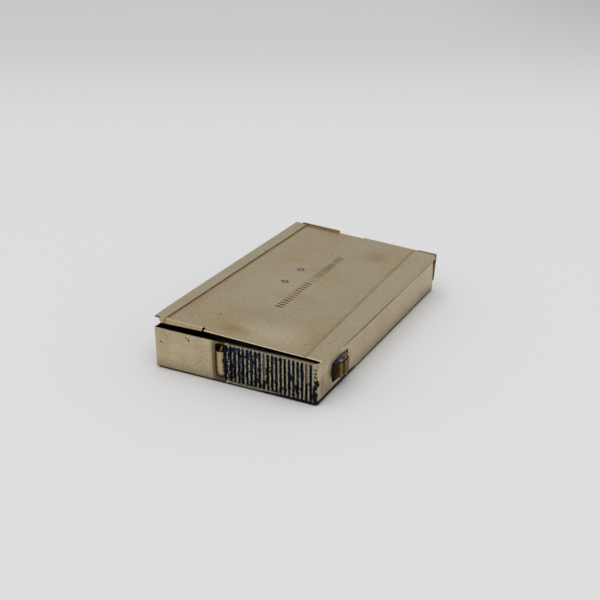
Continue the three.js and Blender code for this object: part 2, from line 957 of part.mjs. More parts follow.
// Lip that turns up at the back.
function backLip() {
  const middle = (panelBottom + panelTop) / 2;
  const lipY = panelBack - lidSheet / 2;
  const lipLeft = lipStart - halfWidth;
  const path = new THREE.Path();
  path.moveTo(lipY - 4 * tabBend, middle);
  path.lineTo(lipY - tabBend, middle);
  path.absarc(lipY - tabBend, middle + tabBend, tabBend, -Math.PI / 2, 0, false);
  path.lineTo(lipY, panelTop + lipRise);
  return extrudedAlongX(strip(path, lidSheet), lipLeft, lipLeft + lipLength);
}

// Deep flange that hangs behind the back wall, with a return that passes under the right rail.
function backFlange() {
  const inner = back + tabGap;
  const outer = inner + lidSheet;
  const right = rightRailOuter - flangeRightSetBack;
  const returnLeft = panelRight - flangeReturnWidth;
  const returnFront = panelBack - flangeReturn;
  const behindRail = rightRailBack + flangeReturnGap;
  const plate = block(right - flangeLength, right, inner, outer, flangeBottom, caseHeight);
  const neck = block(returnLeft, right, inner, outer, caseHeight - flangeNeck, panelTop);
  const shelf = block(returnLeft, panelRight, returnFront, outer, panelBottom, panelTop);
  const corner = block(panelRight, right, behindRail, outer, panelBottom, panelTop);
  return joined(plate, neck, shelf, corner);
}

// Assembly
const lighter = new THREE.Group();

const caseGroup = new THREE.Group();
caseGroup.add(
  mesh('base_plate', basePlate(), 'nickelDull'),
  mesh('case_wall', caseWall(), 'nickel'),
  mesh('striker_plate', strikerPlate(), 'nickel'),
  mesh('window_tongue', windowTongue(), 'nickelBright'),
  mesh('guide_pin', guidePin(), 'brass'),
  mesh('tape_guide', tapeGuide(), 'nickelDull'),
  mesh('wheel_bridge', wheelBridge(), 'nickelDull'),
  mesh('wheel_axle', wheelAxle(), 'steel'),
  mesh('wheel_collar', wheelCollar(), 'brass'),
  mesh('spring_post', springPost(), 'brass'),
  mesh('pressure_spring', pressureSpring(), 'springSteel'),
  mesh('spool_post', spoolPost(), 'brass'),
  mesh('spool_clip', spoolClip(), 'springSteel'),
  mesh('case_hinge_leaf', caseHingeLeaf(), 'nickel'),
  mesh('hinge_pin', hingePin(), 'steel'),
);
['left', 'right'].forEach((side, i) => {
  caseGroup.add(mesh(`guide_rivet_${side}`, rivet(guideFeet()[i]), 'brass'));
});
['front', 'rear'].forEach((end, i) => {
  caseGroup.add(mesh(`bridge_screw_${end}`, bridgeScrew(bridgeScrewPlaces()[i]), 'steel'));
});

const wheelGroup = new THREE.Group();
wheelGroup.position.set(wheelX, wheelY, 0);
wheelGroup.add(
  mesh('thumbwheel', thumbwheel(), 'brass'),
  mesh('feed_disc', feedDisc(), 'steel'),
);

const spoolGroup = new THREE.Group();
spoolGroup.position.set(spoolX, spoolY, 0);
spoolGroup.add(
  mesh('spool_flange', spoolFlange(), 'nickelDull'),
  mesh('spool_hub', spoolHub(), 'nickelDull'),
);

// The lid is drawn shut, about the hinge axis, and stands ajar by the rest tilt.
const lidGroup = new THREE.Group();
lidGroup.position.set(axisX, 0, axisZ);
lidGroup.rotation.y = THREE.MathUtils.degToRad(restTilt);
const lidPieces = [
  ['cover_panel', coverPanel(), 'nickel'],
  ['left_rail', leftRail(), 'nickel'],
  ['right_rail', rightRail(), 'nickel'],
  ['lid_hinge_leaf', lidHingeLeaf(), 'nickel'],
  ['back_flange', backFlange(), 'nickel'],
];
lidPieces.forEach(([name, body, finishName]) => {
  lidGroup.add(mesh(name, body.translate([-axisX, 0, -axisZ]), finishName));
});

lighter.add(caseGroup, wheelGroup, spoolGroup, lidGroup);

export default lighter;
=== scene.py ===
"""Looks of a flat pocket striker lighter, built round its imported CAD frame.

Places are worked out in millimetres and laid in metres. +X is the thumbwheel side,
-Y the striker and +Z up. The lid is worked out shut and then tipped about its hinge.
"""

import logging
import math
from abc import ABC, abstractmethod
from dataclasses import dataclass, field
from enum import Enum
from typing import Callable, Sequence

import bmesh
import bpy
import numpy as np
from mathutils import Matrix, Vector
from mathutils.geometry import delaunay_2d_cdt

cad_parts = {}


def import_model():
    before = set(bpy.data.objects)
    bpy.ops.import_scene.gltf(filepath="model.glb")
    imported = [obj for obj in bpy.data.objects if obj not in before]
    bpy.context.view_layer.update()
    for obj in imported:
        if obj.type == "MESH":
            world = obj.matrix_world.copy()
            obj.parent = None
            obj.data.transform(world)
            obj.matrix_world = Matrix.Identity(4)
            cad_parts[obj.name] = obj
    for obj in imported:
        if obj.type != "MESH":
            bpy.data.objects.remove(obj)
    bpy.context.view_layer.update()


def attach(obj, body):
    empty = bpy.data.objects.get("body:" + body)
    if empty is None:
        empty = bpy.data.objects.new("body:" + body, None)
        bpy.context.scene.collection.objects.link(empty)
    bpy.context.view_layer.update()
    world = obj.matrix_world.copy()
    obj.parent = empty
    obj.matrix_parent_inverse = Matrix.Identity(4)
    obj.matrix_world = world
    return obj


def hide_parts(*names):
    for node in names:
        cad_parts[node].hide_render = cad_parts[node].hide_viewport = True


MM = 0.001

# Two points of a loop that are closer than this, in millimetres, count as one
SAME_POINT = 1e-5
# How far a share may miss a whole number, or a point an edge, by rounding alone
ROUNDING = 1e-6
# A radius below this, in millimetres, is on the axis
ON_AXIS = 1e-9
# The least easing of a turned corner, in millimetres; an end on the axis has no more
LEAST_EASE = 1e-4
# The most of an edge that one rounded corner takes
CORNER_SHARE = 0.48
# The least cosine between a bisector and a normal, so that a sharp corner doesn't run far out
LEAST_MITRE = 0.55
# How far grid points keep from an edge, as a share of the spacing along it
GRID_CLEARANCE = 0.4
# The length of the steps that a course is summed in, in millimetres
COURSE_STEP = 0.01
# Vertices that are closer than this, in metres, are welded, and shorter edges dissolved
WELD, SHORTEST = 2e-7, 1e-7

Array = np.ndarray
Pair = tuple[float, float]
Triple = tuple[float, float, float]
Four = tuple[float, float, float, float]
Colour = Triple
Legs = Sequence[Pair]
Bend = Callable[[Array], Array]

log = logging.getLogger("lighter")


# Surfaces


@dataclass
class Form:
    """A surface in millimetres.

    places holds one row a vertex, faces the vertex numbers of each face, and rim how far
    each vertex lies on a cut edge, from 0 to 1.
    """

    places: Array
    faces: list[list[int]]
    rim: Array

    @classmethod
    def plain(cls, places: Array, faces: Array) -> "Form":
        """A surface without a cut edge, from an array of faces."""
        return cls(places, faces.tolist(), np.zeros(len(places)))

    def __add__(self, other: "Form") -> "Form":
        """Both surfaces as one.

        Args:
            other: the second surface.

        Returns:
            A new surface of both.
        """
        start = len(self.places)
        moved = [[start + i for i in face] for face in other.faces]
        places = np.vstack([self.places, other.places])
        return Form(places, self.faces + moved, np.concatenate([self.rim, other.rim]))

    def bent(self, place: Bend) -> "Form":
        """The surface with its places put through a whole-array function."""
        return Form(place(self.places), self.faces, self.rim)


def mesh_quads(rows: int, columns: int, wrap_rows: bool, wrap_columns: bool) -> Array:
    """Four-cornered faces of a grid of vertices, row after row.

    Args:
        rows: vertices along the first parameter.
        columns: vertices along the second parameter.
        wrap_rows: whether the last row meets the first.
        wrap_columns: whether the last column meets the first.

    Returns:
        One row of four vertex numbers a face.
    """
    row = np.arange(rows if wrap_rows else rows - 1)[:, None]
    column = np.arange(columns if wrap_columns else columns - 1)[None, :]
    next_row, next_column = (row + 1) % rows, (column + 1) % columns
    corners = [
        row * columns + column,
        row * columns + next_column,
        next_row * columns + next_column,
        next_row * columns + column,
    ]
    return np.stack(np.broadcast_arrays(*corners), -1).reshape(-1, 4)


def resampled(loop: Array, step: float) -> Array:
    """A closed loop with its corners kept and more points between them.

    Args:
        loop: a closed loop, one point a row.
        step: the furthest that two points may be apart.

    Returns:
        The points, one a row.
    """
    onward = np.roll(loop, -1, 0) - loop
    counts = np.maximum(np.ceil(np.hypot(*onward.T) / step - ROUNDING).astype(int), 1)
    edge = np.repeat(np.arange(len(loop)), counts)
    first = np.concatenate([[0], np.cumsum(counts)[:-1]])
    share = (np.arange(counts.sum()) - first[edge]) / counts[edge]
    return loop[edge] + onward[edge] * share[:, None]


def running(loop: Array, anticlockwise: bool) -> Array:
    """A closed loop, turned round if it runs the other way."""
    return loop if (signed_area(loop) > 0) == anticlockwise else loop[::-1]


def blended(controls: Sequence[Array], count: int) -> Array:
    """The curve of three or four controls: the sum of each times its Bernstein polynomial.

    Args:
        controls: the controls, of which the first and last are the ends.
        count: how many points it has.

    Returns:
        The points, one a row.
    """
    t = np.linspace(0, 1, count)[:, None]
    last = len(controls) - 1
    return sum(math.comb(last, k) * t**k * (1 - t) ** (last - k) * at for k, at in enumerate(controls))


def rounded(corners: Sequence[Sequence[float]], radius: float | Sequence[float], steps: int = 5) -> Array:
    """A closed loop whose corners are rounded by parabolas.

    Each corner is left at the distance of its radius along both edges, at most a fixed
    share of the edge, and the curve between is the quadratic blend of the two ends and
    the corner.

    Args:
        corners: one point a row.
        radius: one for all corners, or one each.
        steps: how many points a rounded corner has.

    Returns:
        The closed loop, one point a row.
    """
    at = np.asarray(corners, float)
    before, after = np.roll(at, 1, 0) - at, np.roll(at, -1, 0) - at
    reach = np.broadcast_to(np.asarray(radius, float), len(at))[:, None]
    ends = []
    for edge in (before, after):
        long = np.hypot(*edge.T)[:, None]
        ends.append(at + edge / long * np.minimum(reach, CORNER_SHARE * long))
    loop = blended((ends[0][:, None], at[:, None], ends[1][:, None]), steps).reshape(-1, 2)
    apart = np.hypot(*(loop - np.roll(loop, 1, 0)).T)
    return loop[apart > SAME_POINT]


def arc(radius: float, angle: Array, x: float = 0.0, y: float = 0.0) -> Array:
    """Points at a radius and at angles in radians about a point."""
    return np.stack([x + radius * np.cos(angle), y + radius * np.sin(angle)], 1)


def circle(radius: float, steps: int, x: float = 0.0, y: float = 0.0) -> Array:
    """A closed round loop about a point."""
    return arc(radius, np.arange(steps) / steps * 2 * math.pi, x, y)


def signed_area(loop: Array) -> float:
    """Area of a loop, positive where it runs anticlockwise."""
    onward = np.roll(loop, -1, 0)
    return float(np.sum(loop[:, 0] * onward[:, 1] - loop[:, 1] * onward[:, 0]) / 2)


def moved_into_metal(loop: Array, amount: float) -> Array:
    """A loop shifted to its left, along the bisector of its edges' normals.

    Args:
        loop: a closed loop, one point a row.
        amount: how far, in millimetres.

    Returns:
        The shifted loop.
    """
    inward = loop - np.roll(loop, 1, 0)
    onward = np.roll(loop, -1, 0) - loop
    normals = [np.stack([-e[:, 1], e[:, 0]], 1) / np.hypot(*e.T)[:, None] for e in (inward, onward)]
    middle = normals[0] + normals[1]
    middle /= np.maximum(np.hypot(*middle.T), ON_AXIS)[:, None]
    mitre = np.clip((middle * normals[0]).sum(1), LEAST_MITRE, None)
    return loop + middle * (amount / mitre)[:, None]


def inside(points: Array, loop: Array) -> Array:
    """Which points lie inside a loop: a ray from them crosses an odd number of edges.

    Args:
        points: one a row.
        loop: a closed loop, one point a row.

    Returns:
        True or False for each point.
    """
    x, y = points[:, 0, None], points[:, 1, None]
    x0, y0 = loop[None, :, 0], loop[None, :, 1]
    x1, y1 = np.roll(loop[:, 0], -1)[None, :], np.roll(loop[:, 1], -1)[None, :]
    spans = (y0 > y) != (y1 > y)
    rise = np.where(y1 == y0, 1.0, y1 - y0)
    return (np.count_nonzero(spans & (x < x0 + (y - y0) / rise * (x1 - x0)), axis=1) % 2).astype(bool)


@dataclass
class Blank:
    """A cut sheet, flat, before it is bent.

    outline and holes are closed loops in u and v, thickness is the sheet, ease the radius
    of its cut edges and step the spacing of points along them. u_lines and v_lines give
    the grid of points between the edges.
    """

    outline: Array
    thickness: float
    holes: Sequence[Array] = ()
    ease: float = 0.06
    step: float = 0.5
    u_lines: Array = field(default_factory=lambda: np.empty(0))
    v_lines: Array = field(default_factory=lambda: np.empty(0))

    def form(self) -> Form:
        """The closed sheet in u, v and w, where w runs across the thickness about 0.

        Each loop carries rings that follow a quarter circle of the ease radius from the
        face to the edge and another back to the other face. Both faces are one Delaunay
        triangulation of the region inside the loops.

        Returns:
            The closed surface.
        """
        facing = [running(self.outline, True)] + [running(hole, False) for hole in self.holes]
        loops = [resampled(loop, self.step) for loop in facing]
        inner = [moved_into_metal(loop, self.ease) for loop in loops]
        places, triangles = self._face(inner)
        half = np.full(len(places), self.thickness / 2)
        sheet = Form.plain(np.column_stack([places, half]), triangles)
        sheet = sheet + Form.plain(np.column_stack([places, -half]), triangles[:, ::-1])
        for edge, core in zip(loops, inner):
            sheet = sheet + self._rim(edge, core)
        return sheet

    def laid(self, course: "Course", plane: "Plane") -> Form:
        """The sheet bent along a course in a plane."""
        return self.form().bent(course.laid(plane))

    def flat(self, x: float, y: float, z: float) -> Form:
        """The sheet left flat at a place, its thickness about that height."""
        return self.form().bent(lambda places: places + np.array([x, y, z]))

    def _rim(self, edge: Array, core: Array) -> Form:
        """Rings of vertices round one loop, from one face over the edge to the other.

        Args:
            edge: the loop at the outside.
            core: the same loop where the faces end.

        Returns:
            The ring of faces.
        """
        angle = np.linspace(0, math.pi / 2, 4)
        share = np.concatenate([np.sin(angle), np.sin(angle)[::-1]])
        drop = self.ease * (1 - np.cos(angle))
        level = np.concatenate([self.thickness / 2 - drop, drop[::-1] - self.thickness / 2])
        flat = core[None] + (edge - core)[None] * share[:, None, None]
        heights = np.broadcast_to(level[:, None, None], flat.shape[:2] + (1,))
        rings = np.concatenate([flat, heights], 2).reshape(-1, 3)
        rim = np.repeat(share, len(edge))
        return Form(rings, mesh_quads(len(share), len(edge), False, True).tolist(), rim)

    def _face(self, loops: list[Array]) -> tuple[Array, Array]:
        """One face: the region inside the first loop and outside the others.

        Args:
            loops: the outline and the holes.

        Returns:
            Its points and its triangles.
        """
        grid = np.stack(np.meshgrid(self.u_lines, self.v_lines), -1).reshape(-1, 2)
        for number, loop in enumerate(loops):
            if not len(grid):
                break
            clear = inside(grid, moved_into_metal(loop, GRID_CLEARANCE * self.step))
            grid = grid[clear if number == 0 else ~clear]
        points = np.vstack(loops + [grid])
        starts = np.cumsum([0] + [len(loop) for loop in loops])
        rounds = [np.arange(a, b) for a, b in zip(starts[:-1], starts[1:])]
        edges = np.vstack([np.stack([loop, np.roll(loop, -1)], 1) for loop in rounds])
        found = delaunay_2d_cdt([Vector(p) for p in points.tolist()], edges.tolist(), [], 0, ROUNDING)
        places = np.array([tuple(p) for p in found[0]])
        triangles = np.array([tuple(f) for f in found[2]])
        middle = places[triangles].mean(1)
        keep = inside(middle, loops[0])
        for hole in loops[1:]:
            keep &= ~inside(middle, hole)
        return places, triangles[keep]


class Plane(Enum):
    """Plane in which a course runs; the sheet is as wide as the third axis."""

    XY = "upright wall seen from above"
    XZ = "strip along Y seen from the front"
    YZ = "strip across X seen from the right"


@dataclass
class Course:
    """Line of straights and bends that the middle of a sheet follows.

    along is the length run, line the places and heading the direction in radians.
    """

    along: Array
    line: Array
    heading: Array

    @classmethod
    def of_legs(cls, start: Pair, heading: float, legs: Legs) -> "Course":
        """A course from legs of (length, turn in degrees); a straight turns by 0.

        The heading grows evenly along each leg, and the line is the running sum of the
        cosine and sine of the heading over short steps.

        Args:
            start: the place that it begins at.
            heading: the direction there, in degrees.
            legs: the legs, in order.

        Returns:
            The course.
        """
        ends = np.concatenate([[0.0], np.cumsum([length for length, _ in legs])])
        turns = np.concatenate([[heading], heading + np.cumsum([turn for _, turn in legs])])
        along = np.linspace(0, ends[-1], int(ends[-1] / COURSE_STEP) + 2)
        angle = np.radians(np.interp(along, ends, turns))
        middle = (angle[1:] + angle[:-1]) / 2
        steps = np.stack([np.cos(middle), np.sin(middle)], 1) * np.diff(along)[:, None]
        line = np.vstack([[0.0, 0.0], np.cumsum(steps, 0)]) + np.asarray(start)
        return cls(along, line, angle)

    @classmethod
    def through(cls, points: Array) -> "Course":
        """A course through points that already lie close together.

        Args:
            points: one a row.

        Returns:
            The course.
        """
        apart = np.hypot(*np.diff(points, axis=0).T)
        along = np.concatenate([[0.0], np.cumsum(apart)])
        slope = np.gradient(points, along, axis=0)
        return cls(along, points, np.unwrap(np.arctan2(slope[:, 1], slope[:, 0])))

    @property
    def length(self) -> float:
        """Whole length of the line."""
        return float(self.along[-1])

    def laid(self, plane: Plane) -> Bend:
        """The function that bends a flat sheet along the course.

        A point at u, v, w goes to the place on the line at u, moved by w along the normal
        to the left of the heading, and by v across the plane. Beyond either end it goes
        straight on.

        Args:
            plane: where the course lies.

        Returns:
            The function from flat places to bent ones.
        """

        def place(flat: Array) -> Array:
            """Places of the flat sheet's points once it is bent."""
            u, v, w = flat.T
            held = np.clip(u, 0, self.length)
            angle = np.interp(held, self.along, self.heading)
            over = u - held
            a = np.interp(held, self.along, self.line[:, 0]) + over * np.cos(angle) - w * np.sin(angle)
            b = np.interp(held, self.along, self.line[:, 1]) + over * np.sin(angle) + w * np.cos(angle)
            order = {Plane.XY: (a, b, v), Plane.XZ: (a, v, b), Plane.YZ: (v, a, b)}[plane]
            return np.stack(order, 1)

        return place


def turned(profile: Array, x: float, y: float, steps: int = 64) -> Form:
    """A profile of (radius, height) rows turned about an upright axis.

    A vertex is at radius times the cosine and sine of its angle. A profile that begins and
    ends on the axis closes there, and any other is a closed loop of its own.

    Args:
        profile: its rows, anticlockwise.
        x: where the axis is.
        y: the same along Y.
        steps: how many times the profile is repeated round it.

    Returns:
        The closed surface.
    """
    angle = np.arange(steps)[:, None] / steps * 2 * math.pi
    radius = profile[None, :, 0]
    height = np.broadcast_to(profile[:, 1], (steps, len(profile)))
    places = np.stack([x + radius * np.cos(angle), y + radius * np.sin(angle), height], -1).reshape(-1, 3)
    return Form.plain(places, mesh_quads(steps, len(profile), True, profile[0, 0] >= ON_AXIS))


def stepped(low: float, steps: Legs, bore: float = 0.0) -> list[Pair]:
    """The profile of a turned part that goes up in steps.

    Args:
        low: the height of its foot.
        steps: the radius and the height of the top of each.
        bore: the radius of the hole along it.

    Returns:
        Its corners as radius and height.
    """
    profile = [(bore, low)]
    for radius, top in steps:
        profile += [(radius, profile[-1][1]), (radius, top)]
    return profile + [(bore, profile[-1][1])]


def eased(profile: Sequence[Sequence[float]], ease: float) -> Array:
    """A turned profile with its corners eased; ends on the axis stay where they are.

    Args:
        profile: its corners as radius and height.
        ease: the radius that a corner is eased by.

    Returns:
        The profile, one point a row.
    """
    points = np.asarray(profile, float)
    on_axis = points[:, 0] < ON_AXIS
    loop = rounded(points, np.maximum(np.where(on_axis, 0.0, ease), LEAST_EASE), 5)
    if on_axis.any():
        start = int(np.argmin(np.hypot(*(loop - points[0]).T)))
        loop = np.roll(loop, -start, 0)
        loop[loop[:, 0] < 2 * LEAST_EASE, 0] = 0.0
    return loop


def smooth_step(value: Array, low: float, high: float) -> Array:
    """0 below low, 1 above high, and an even S between."""
    t = np.clip((value - low) / (high - low), 0, 1)
    return t * t * (3 - 2 * t)


@dataclass(frozen=True)
class Waves:
    """Slow, smooth unevenness: its height and length in millimetres, and a seed."""

    height: float
    length: float
    seed: float

    def at(self, a: Array, b: Array | float = 0.0) -> Array:
        """Its height at points of two parameters: a sum of sines that share no period.

        Args:
            a: the first parameter, in millimetres.
            b: the second.

        Returns:
            The height at each point.
        """
        p, q = a / self.length, b / self.length
        waves = np.sin(1.7 * p + 2.3 * q + self.seed) + np.sin(2.9 * p - 1.3 * q + 2.1 * self.seed)
        waves = waves + np.sin(0.7 * p + 4.1 * q + 3.7 * self.seed)
        return self.height * ((waves + np.sin(-3.7 * p + 0.9 * q + self.seed)) / 4)


# Shaders


class Term:
    """A socket in a shader sum; an operator on it adds its Math node."""

    def __init__(self, bench: "Bench", socket: bpy.types.NodeSocket) -> None:
        """Holds the socket and the material that it belongs to."""
        self.bench, self.socket = bench, socket

    def _math(self, operation: str, *values: "Term | float") -> "Term":
        """The Math node of that operation on the values."""
        return self.bench.node("ShaderNodeMath", {"operation": operation}, dict(enumerate(values)))

    def __add__(self, other: "Term | float") -> "Term":
        """Sum."""
        return self._math("ADD", self, other)

    def __sub__(self, other: "Term | float") -> "Term":
        """Difference."""
        return self._math("SUBTRACT", self, other)

    def __mul__(self, other: "Term | float") -> "Term":
        """Product."""
        return self._math("MULTIPLY", self, other)

    def __truediv__(self, other: "Term | float") -> "Term":
        """Quotient."""
        return self._math("DIVIDE", self, other)

    def __rsub__(self, other: float) -> "Term":
        """A number less this value."""
        return self._math("SUBTRACT", other, self)

    def __pow__(self, power: float) -> "Term":
        """This value to a power."""
        return self._math("POWER", self, power)

    __radd__ = __add__
    __rmul__ = __mul__

    def least(self, other: "Term | float") -> "Term":
        """The lesser of two values."""
        return self._math("MINIMUM", self, other)

    def most(self, other: "Term | float") -> "Term":
        """The greater of two values."""
        return self._math("MAXIMUM", self, other)

    def size(self) -> "Term":
        """The value without its sign."""
        return self._math("ABSOLUTE", self)

    def swing(self, amount: float) -> "Term":
        """A noise of 0 to 1 made to lie about 0, times an amount."""
        return (self - 0.5) * amount

    def within(self, period: float) -> "Term":
        """The rest of the value after whole periods, never below 0."""
        return self._math("FLOORED_MODULO", self, period)

    def step(self, low: float, high: float) -> "Term":
        """Smooth step of the value from 0 at low to 1 at high; low may be the greater.

        Args:
            low: where the step starts.
            high: where it ends.

        Returns:
            The step.
        """
        if low > high:
            return 1 - self.step(high, low)
        settings = {"interpolation_type": "SMOOTHSTEP"}
        return self.bench.node("ShaderNodeMapRange", settings, {0: self, 1: low, 2: high, 3: 0.0, 4: 1.0})


def linear(colour: Colour) -> Four:
    """A display colour of 0 to 255 a channel as linear light with full alpha.

    Args:
        colour: red, green and blue.

    Returns:
        Red, green, blue and alpha.
    """
    share = np.asarray(colour, float) / 255
    light = np.where(share <= 0.04045, share / 12.92, ((share + 0.055) / 1.055) ** 2.4)
    return (*light.tolist(), 1.0)


@dataclass(frozen=True)
class Grain:
    """A noise: its cells a millimetre, its octaves and the strength of the finer ones."""

    per_mm: float
    detail: float
    rough: float


class Bench:
    """The node tree of one material and the few ways that its nodes are made."""

    def __init__(self, name: str) -> None:
        """An empty material with its output."""
        self.material = bpy.data.materials.new(name)
        self.material.use_nodes = True
        self.tree = self.material.node_tree
        self.tree.nodes.clear()
        self.output = self.tree.nodes.new("ShaderNodeOutputMaterial")

    def node(self, kind: str, settings: dict, sockets: dict, out: int | str = 0) -> Term:
        """Adds a node.

        Args:
            kind: the node's type.
            settings: its own properties, set first.
            sockets: a value or a Term for each input, by number or name.
            out: which output the Term stands for.

        Returns:
            The chosen output.
        """
        made = self.tree.nodes.new(kind)
        for key, value in settings.items():
            setattr(made, key, value)
        for key, value in sockets.items():
            if isinstance(value, Term):
                self.tree.links.new(value.socket, made.inputs[key])
            else:
                made.inputs[key].default_value = value
        return Term(self, made.outputs[out])

    def place(self, tilt_degrees: float = 0.0, axis: Pair = (0.0, 0.0)) -> Term:
        """Object coordinates in millimetres, turned back about a line along Y.

        Args:
            tilt_degrees: how far they are turned back.
            axis: the line's place in X and Z.

        Returns:
            The coordinates.
        """
        raw = self.node("ShaderNodeTexCoord", {}, {}, "Object")
        angle = math.radians(tilt_degrees)
        back_x = axis[0] - axis[0] * math.cos(angle) + axis[1] * math.sin(angle)
        back_z = axis[1] - axis[0] * math.sin(angle) - axis[1] * math.cos(angle)
        sockets = {
            "Vector": raw,
            "Location": (back_x, 0.0, back_z),
            "Rotation": (0.0, -angle, 0.0),
            "Scale": (1 / MM, 1 / MM, 1 / MM),
        }
        return self.node("ShaderNodeMapping", {"vector_type": "POINT"}, sockets)

    def parts(self, vector: Term) -> tuple[Term, Term, Term]:
        """The three components of a vector.

        Args:
            vector: the vector.

        Returns:
            Its X, Y and Z.
        """
        first = self.node("ShaderNodeSeparateXYZ", {}, {0: vector}, 0)
        outputs = first.socket.node.outputs
        return first, Term(self, outputs[1]), Term(self, outputs[2])

    def stretched(self, vector: Term, scale: Triple) -> Term:
        """The vector with each component scaled."""
        return self.node("ShaderNodeVectorMath", {"operation": "MULTIPLY"}, {0: vector, 1: scale})

    def noise(self, vector: Term, grain: Grain) -> Term:
        """Fractal noise of about 0 to 1."""
        sockets = {"Vector": vector, "Scale": grain.per_mm, "Detail": grain.detail, "Roughness": grain.rough}
        return self.node("ShaderNodeTexNoise", {"noise_dimensions": "3D"}, sockets)

    def cells(self, vector: Term, per_mm: float) -> Term:
        """Distance to the nearest of scattered points, in cells."""
        sockets = {"Vector": vector, "Scale": per_mm, "Randomness": 1.0}
        return self.node("ShaderNodeTexVoronoi", {"feature": "F1"}, sockets, "Distance")

    def blend(self, share: "Term | float", first: "Term | Colour", second: "Term | Colour") -> Term:
        """A mix of two colours.

        Args:
            share: how much of the second, from 0 to 1.
            first: the colour at 0.
            second: the colour at 1.

        Returns:
            The colour.
        """
        ends = [linear(c) if isinstance(c, tuple) else c for c in (first, second)]
        sockets = {0: share, 6: ends[0], 7: ends[1]}
        return self.node("ShaderNodeMix", {"data_type": "RGBA", "clamp_factor": True}, sockets, 2)

    def rim(self) -> Term:
        """How far a point lies on a cut edge, from the piece's own attribute."""
        return self.node("ShaderNodeAttribute", {"attribute_name": "rim"}, {}, "Fac")

    def bump(self, height: Term, depth_mm: float) -> Term:
        """Normal of a surface raised by height times a depth."""
        sockets = {"Height": height, "Distance": depth_mm * MM, "Strength": 1.0}
        return self.node("ShaderNodeBump", {}, sockets)

    def finish(self, sockets: dict) -> bpy.types.Material:
        """Ends the material in a Principled shader with these sockets.

        Args:
            sockets: a value or a Term for each input.

        Returns:
            The material.
        """
        shader = self.node("ShaderNodeBsdfPrincipled", {}, sockets)
        self.tree.links.new(shader.socket, self.output.inputs["Surface"])
        return self.material


class Slot(Enum):
    """The record's material slots."""

    NICKEL = "nickel_silver"
    BRASS = "brass"
    STEEL = "steel"
    SPRING = "spring_steel"


@dataclass(frozen=True)
class Finish(ABC):
    """A look: the name of its material and the record's slot that it belongs to."""

    name: str
    slot: Slot = field(default=Slot.NICKEL, kw_only=True)

    @abstractmethod
    def material(self) -> bpy.types.Material:
        """Builds the material."""


class Edge(Enum):
    """How a mark ends: the share of its reach within which it is at full depth."""

    CRISP = 0.8
    EASY = 0.45
    SOFT = 0.0


@dataclass(frozen=True)
class Mark:
    """A stain or patch of painted shade: its centre and reach in millimetres, depth of tint, raggedness and
    edge.

    A mark is an ellipsoid, or with square set a box with rounded corners.
    """

    at: Triple
    reach: Triple
    share: float = 1.0
    ragged: float = 0.6
    edge: Edge = Edge.EASY
    square: bool = False


@dataclass(frozen=True)
class Seam:
    """A dark line along Y on the lid, tarnish at a rail's step with painted shade where the step lies in
    shadow: its place in X at the middle, lean, half width and depth.
    """

    x: float
    lean: float
    half: float
    share: float


@dataclass(frozen=True)
class Hollow:
    """The inside, painted dark with soot and painted shade: half sizes in X and Y, and lowest and highest
    place.
    """

    half_x: float = 18.75
    half_y: float = 32.25
    low: float = 0.2
    high: float = 40.0


@dataclass(frozen=True)
class Tilt:
    """The frame of the lid's patterns: how far it stands open and about which line."""

    degrees: float = 0.0
    axis: Pair = (0.0, 0.0)


def marked(bench: Bench, place: Term, noise: Term, marks: Sequence[Mark]) -> Term:
    """How deep the marks lie at a point: the deepest of their ragged ellipsoids and boxes.

    A box is the solid where the sixth powers of its three scaled distances sum to 1.

    Args:
        bench: the material.
        place: the point.
        noise: what makes the outlines ragged.
        marks: the ellipsoids and boxes.

    Returns:
        The depth, from 0 to 1.
    """
    power = 6.0
    total = noise * 0.0
    for mark in marks:
        shift = bench.node("ShaderNodeVectorMath", {"operation": "SUBTRACT"}, {0: place, 1: mark.at})
        scaled = bench.stretched(shift, tuple(1 / reach for reach in mark.reach))
        if mark.square:
            x, y, z = (part.size() ** power for part in bench.parts(scaled))
            distance = (x + y + z) ** (1 / power)
        else:
            distance = bench.node("ShaderNodeVectorMath", {"operation": "LENGTH"}, {0: scaled}, "Value")
        reached = distance + noise.swing(2 * mark.ragged)
        total = total.most(reached.step(1.0, mark.edge.value) * mark.share)
    return total


# Noises of the nickel finishes, from broad clouds to the polish's streaks

CLOUD = Grain(0.09, 4.0, 0.6)
BAND = Grain(0.2, 2.0, 0.5)
FINE = Grain(0.9, 5.0, 0.65)
SPECK = Grain(2.4, 3.0, 0.7)
GRIT = Grain(6.0, 4.0, 0.7)
STREAK = Grain(9.0, 4.0, 0.6)


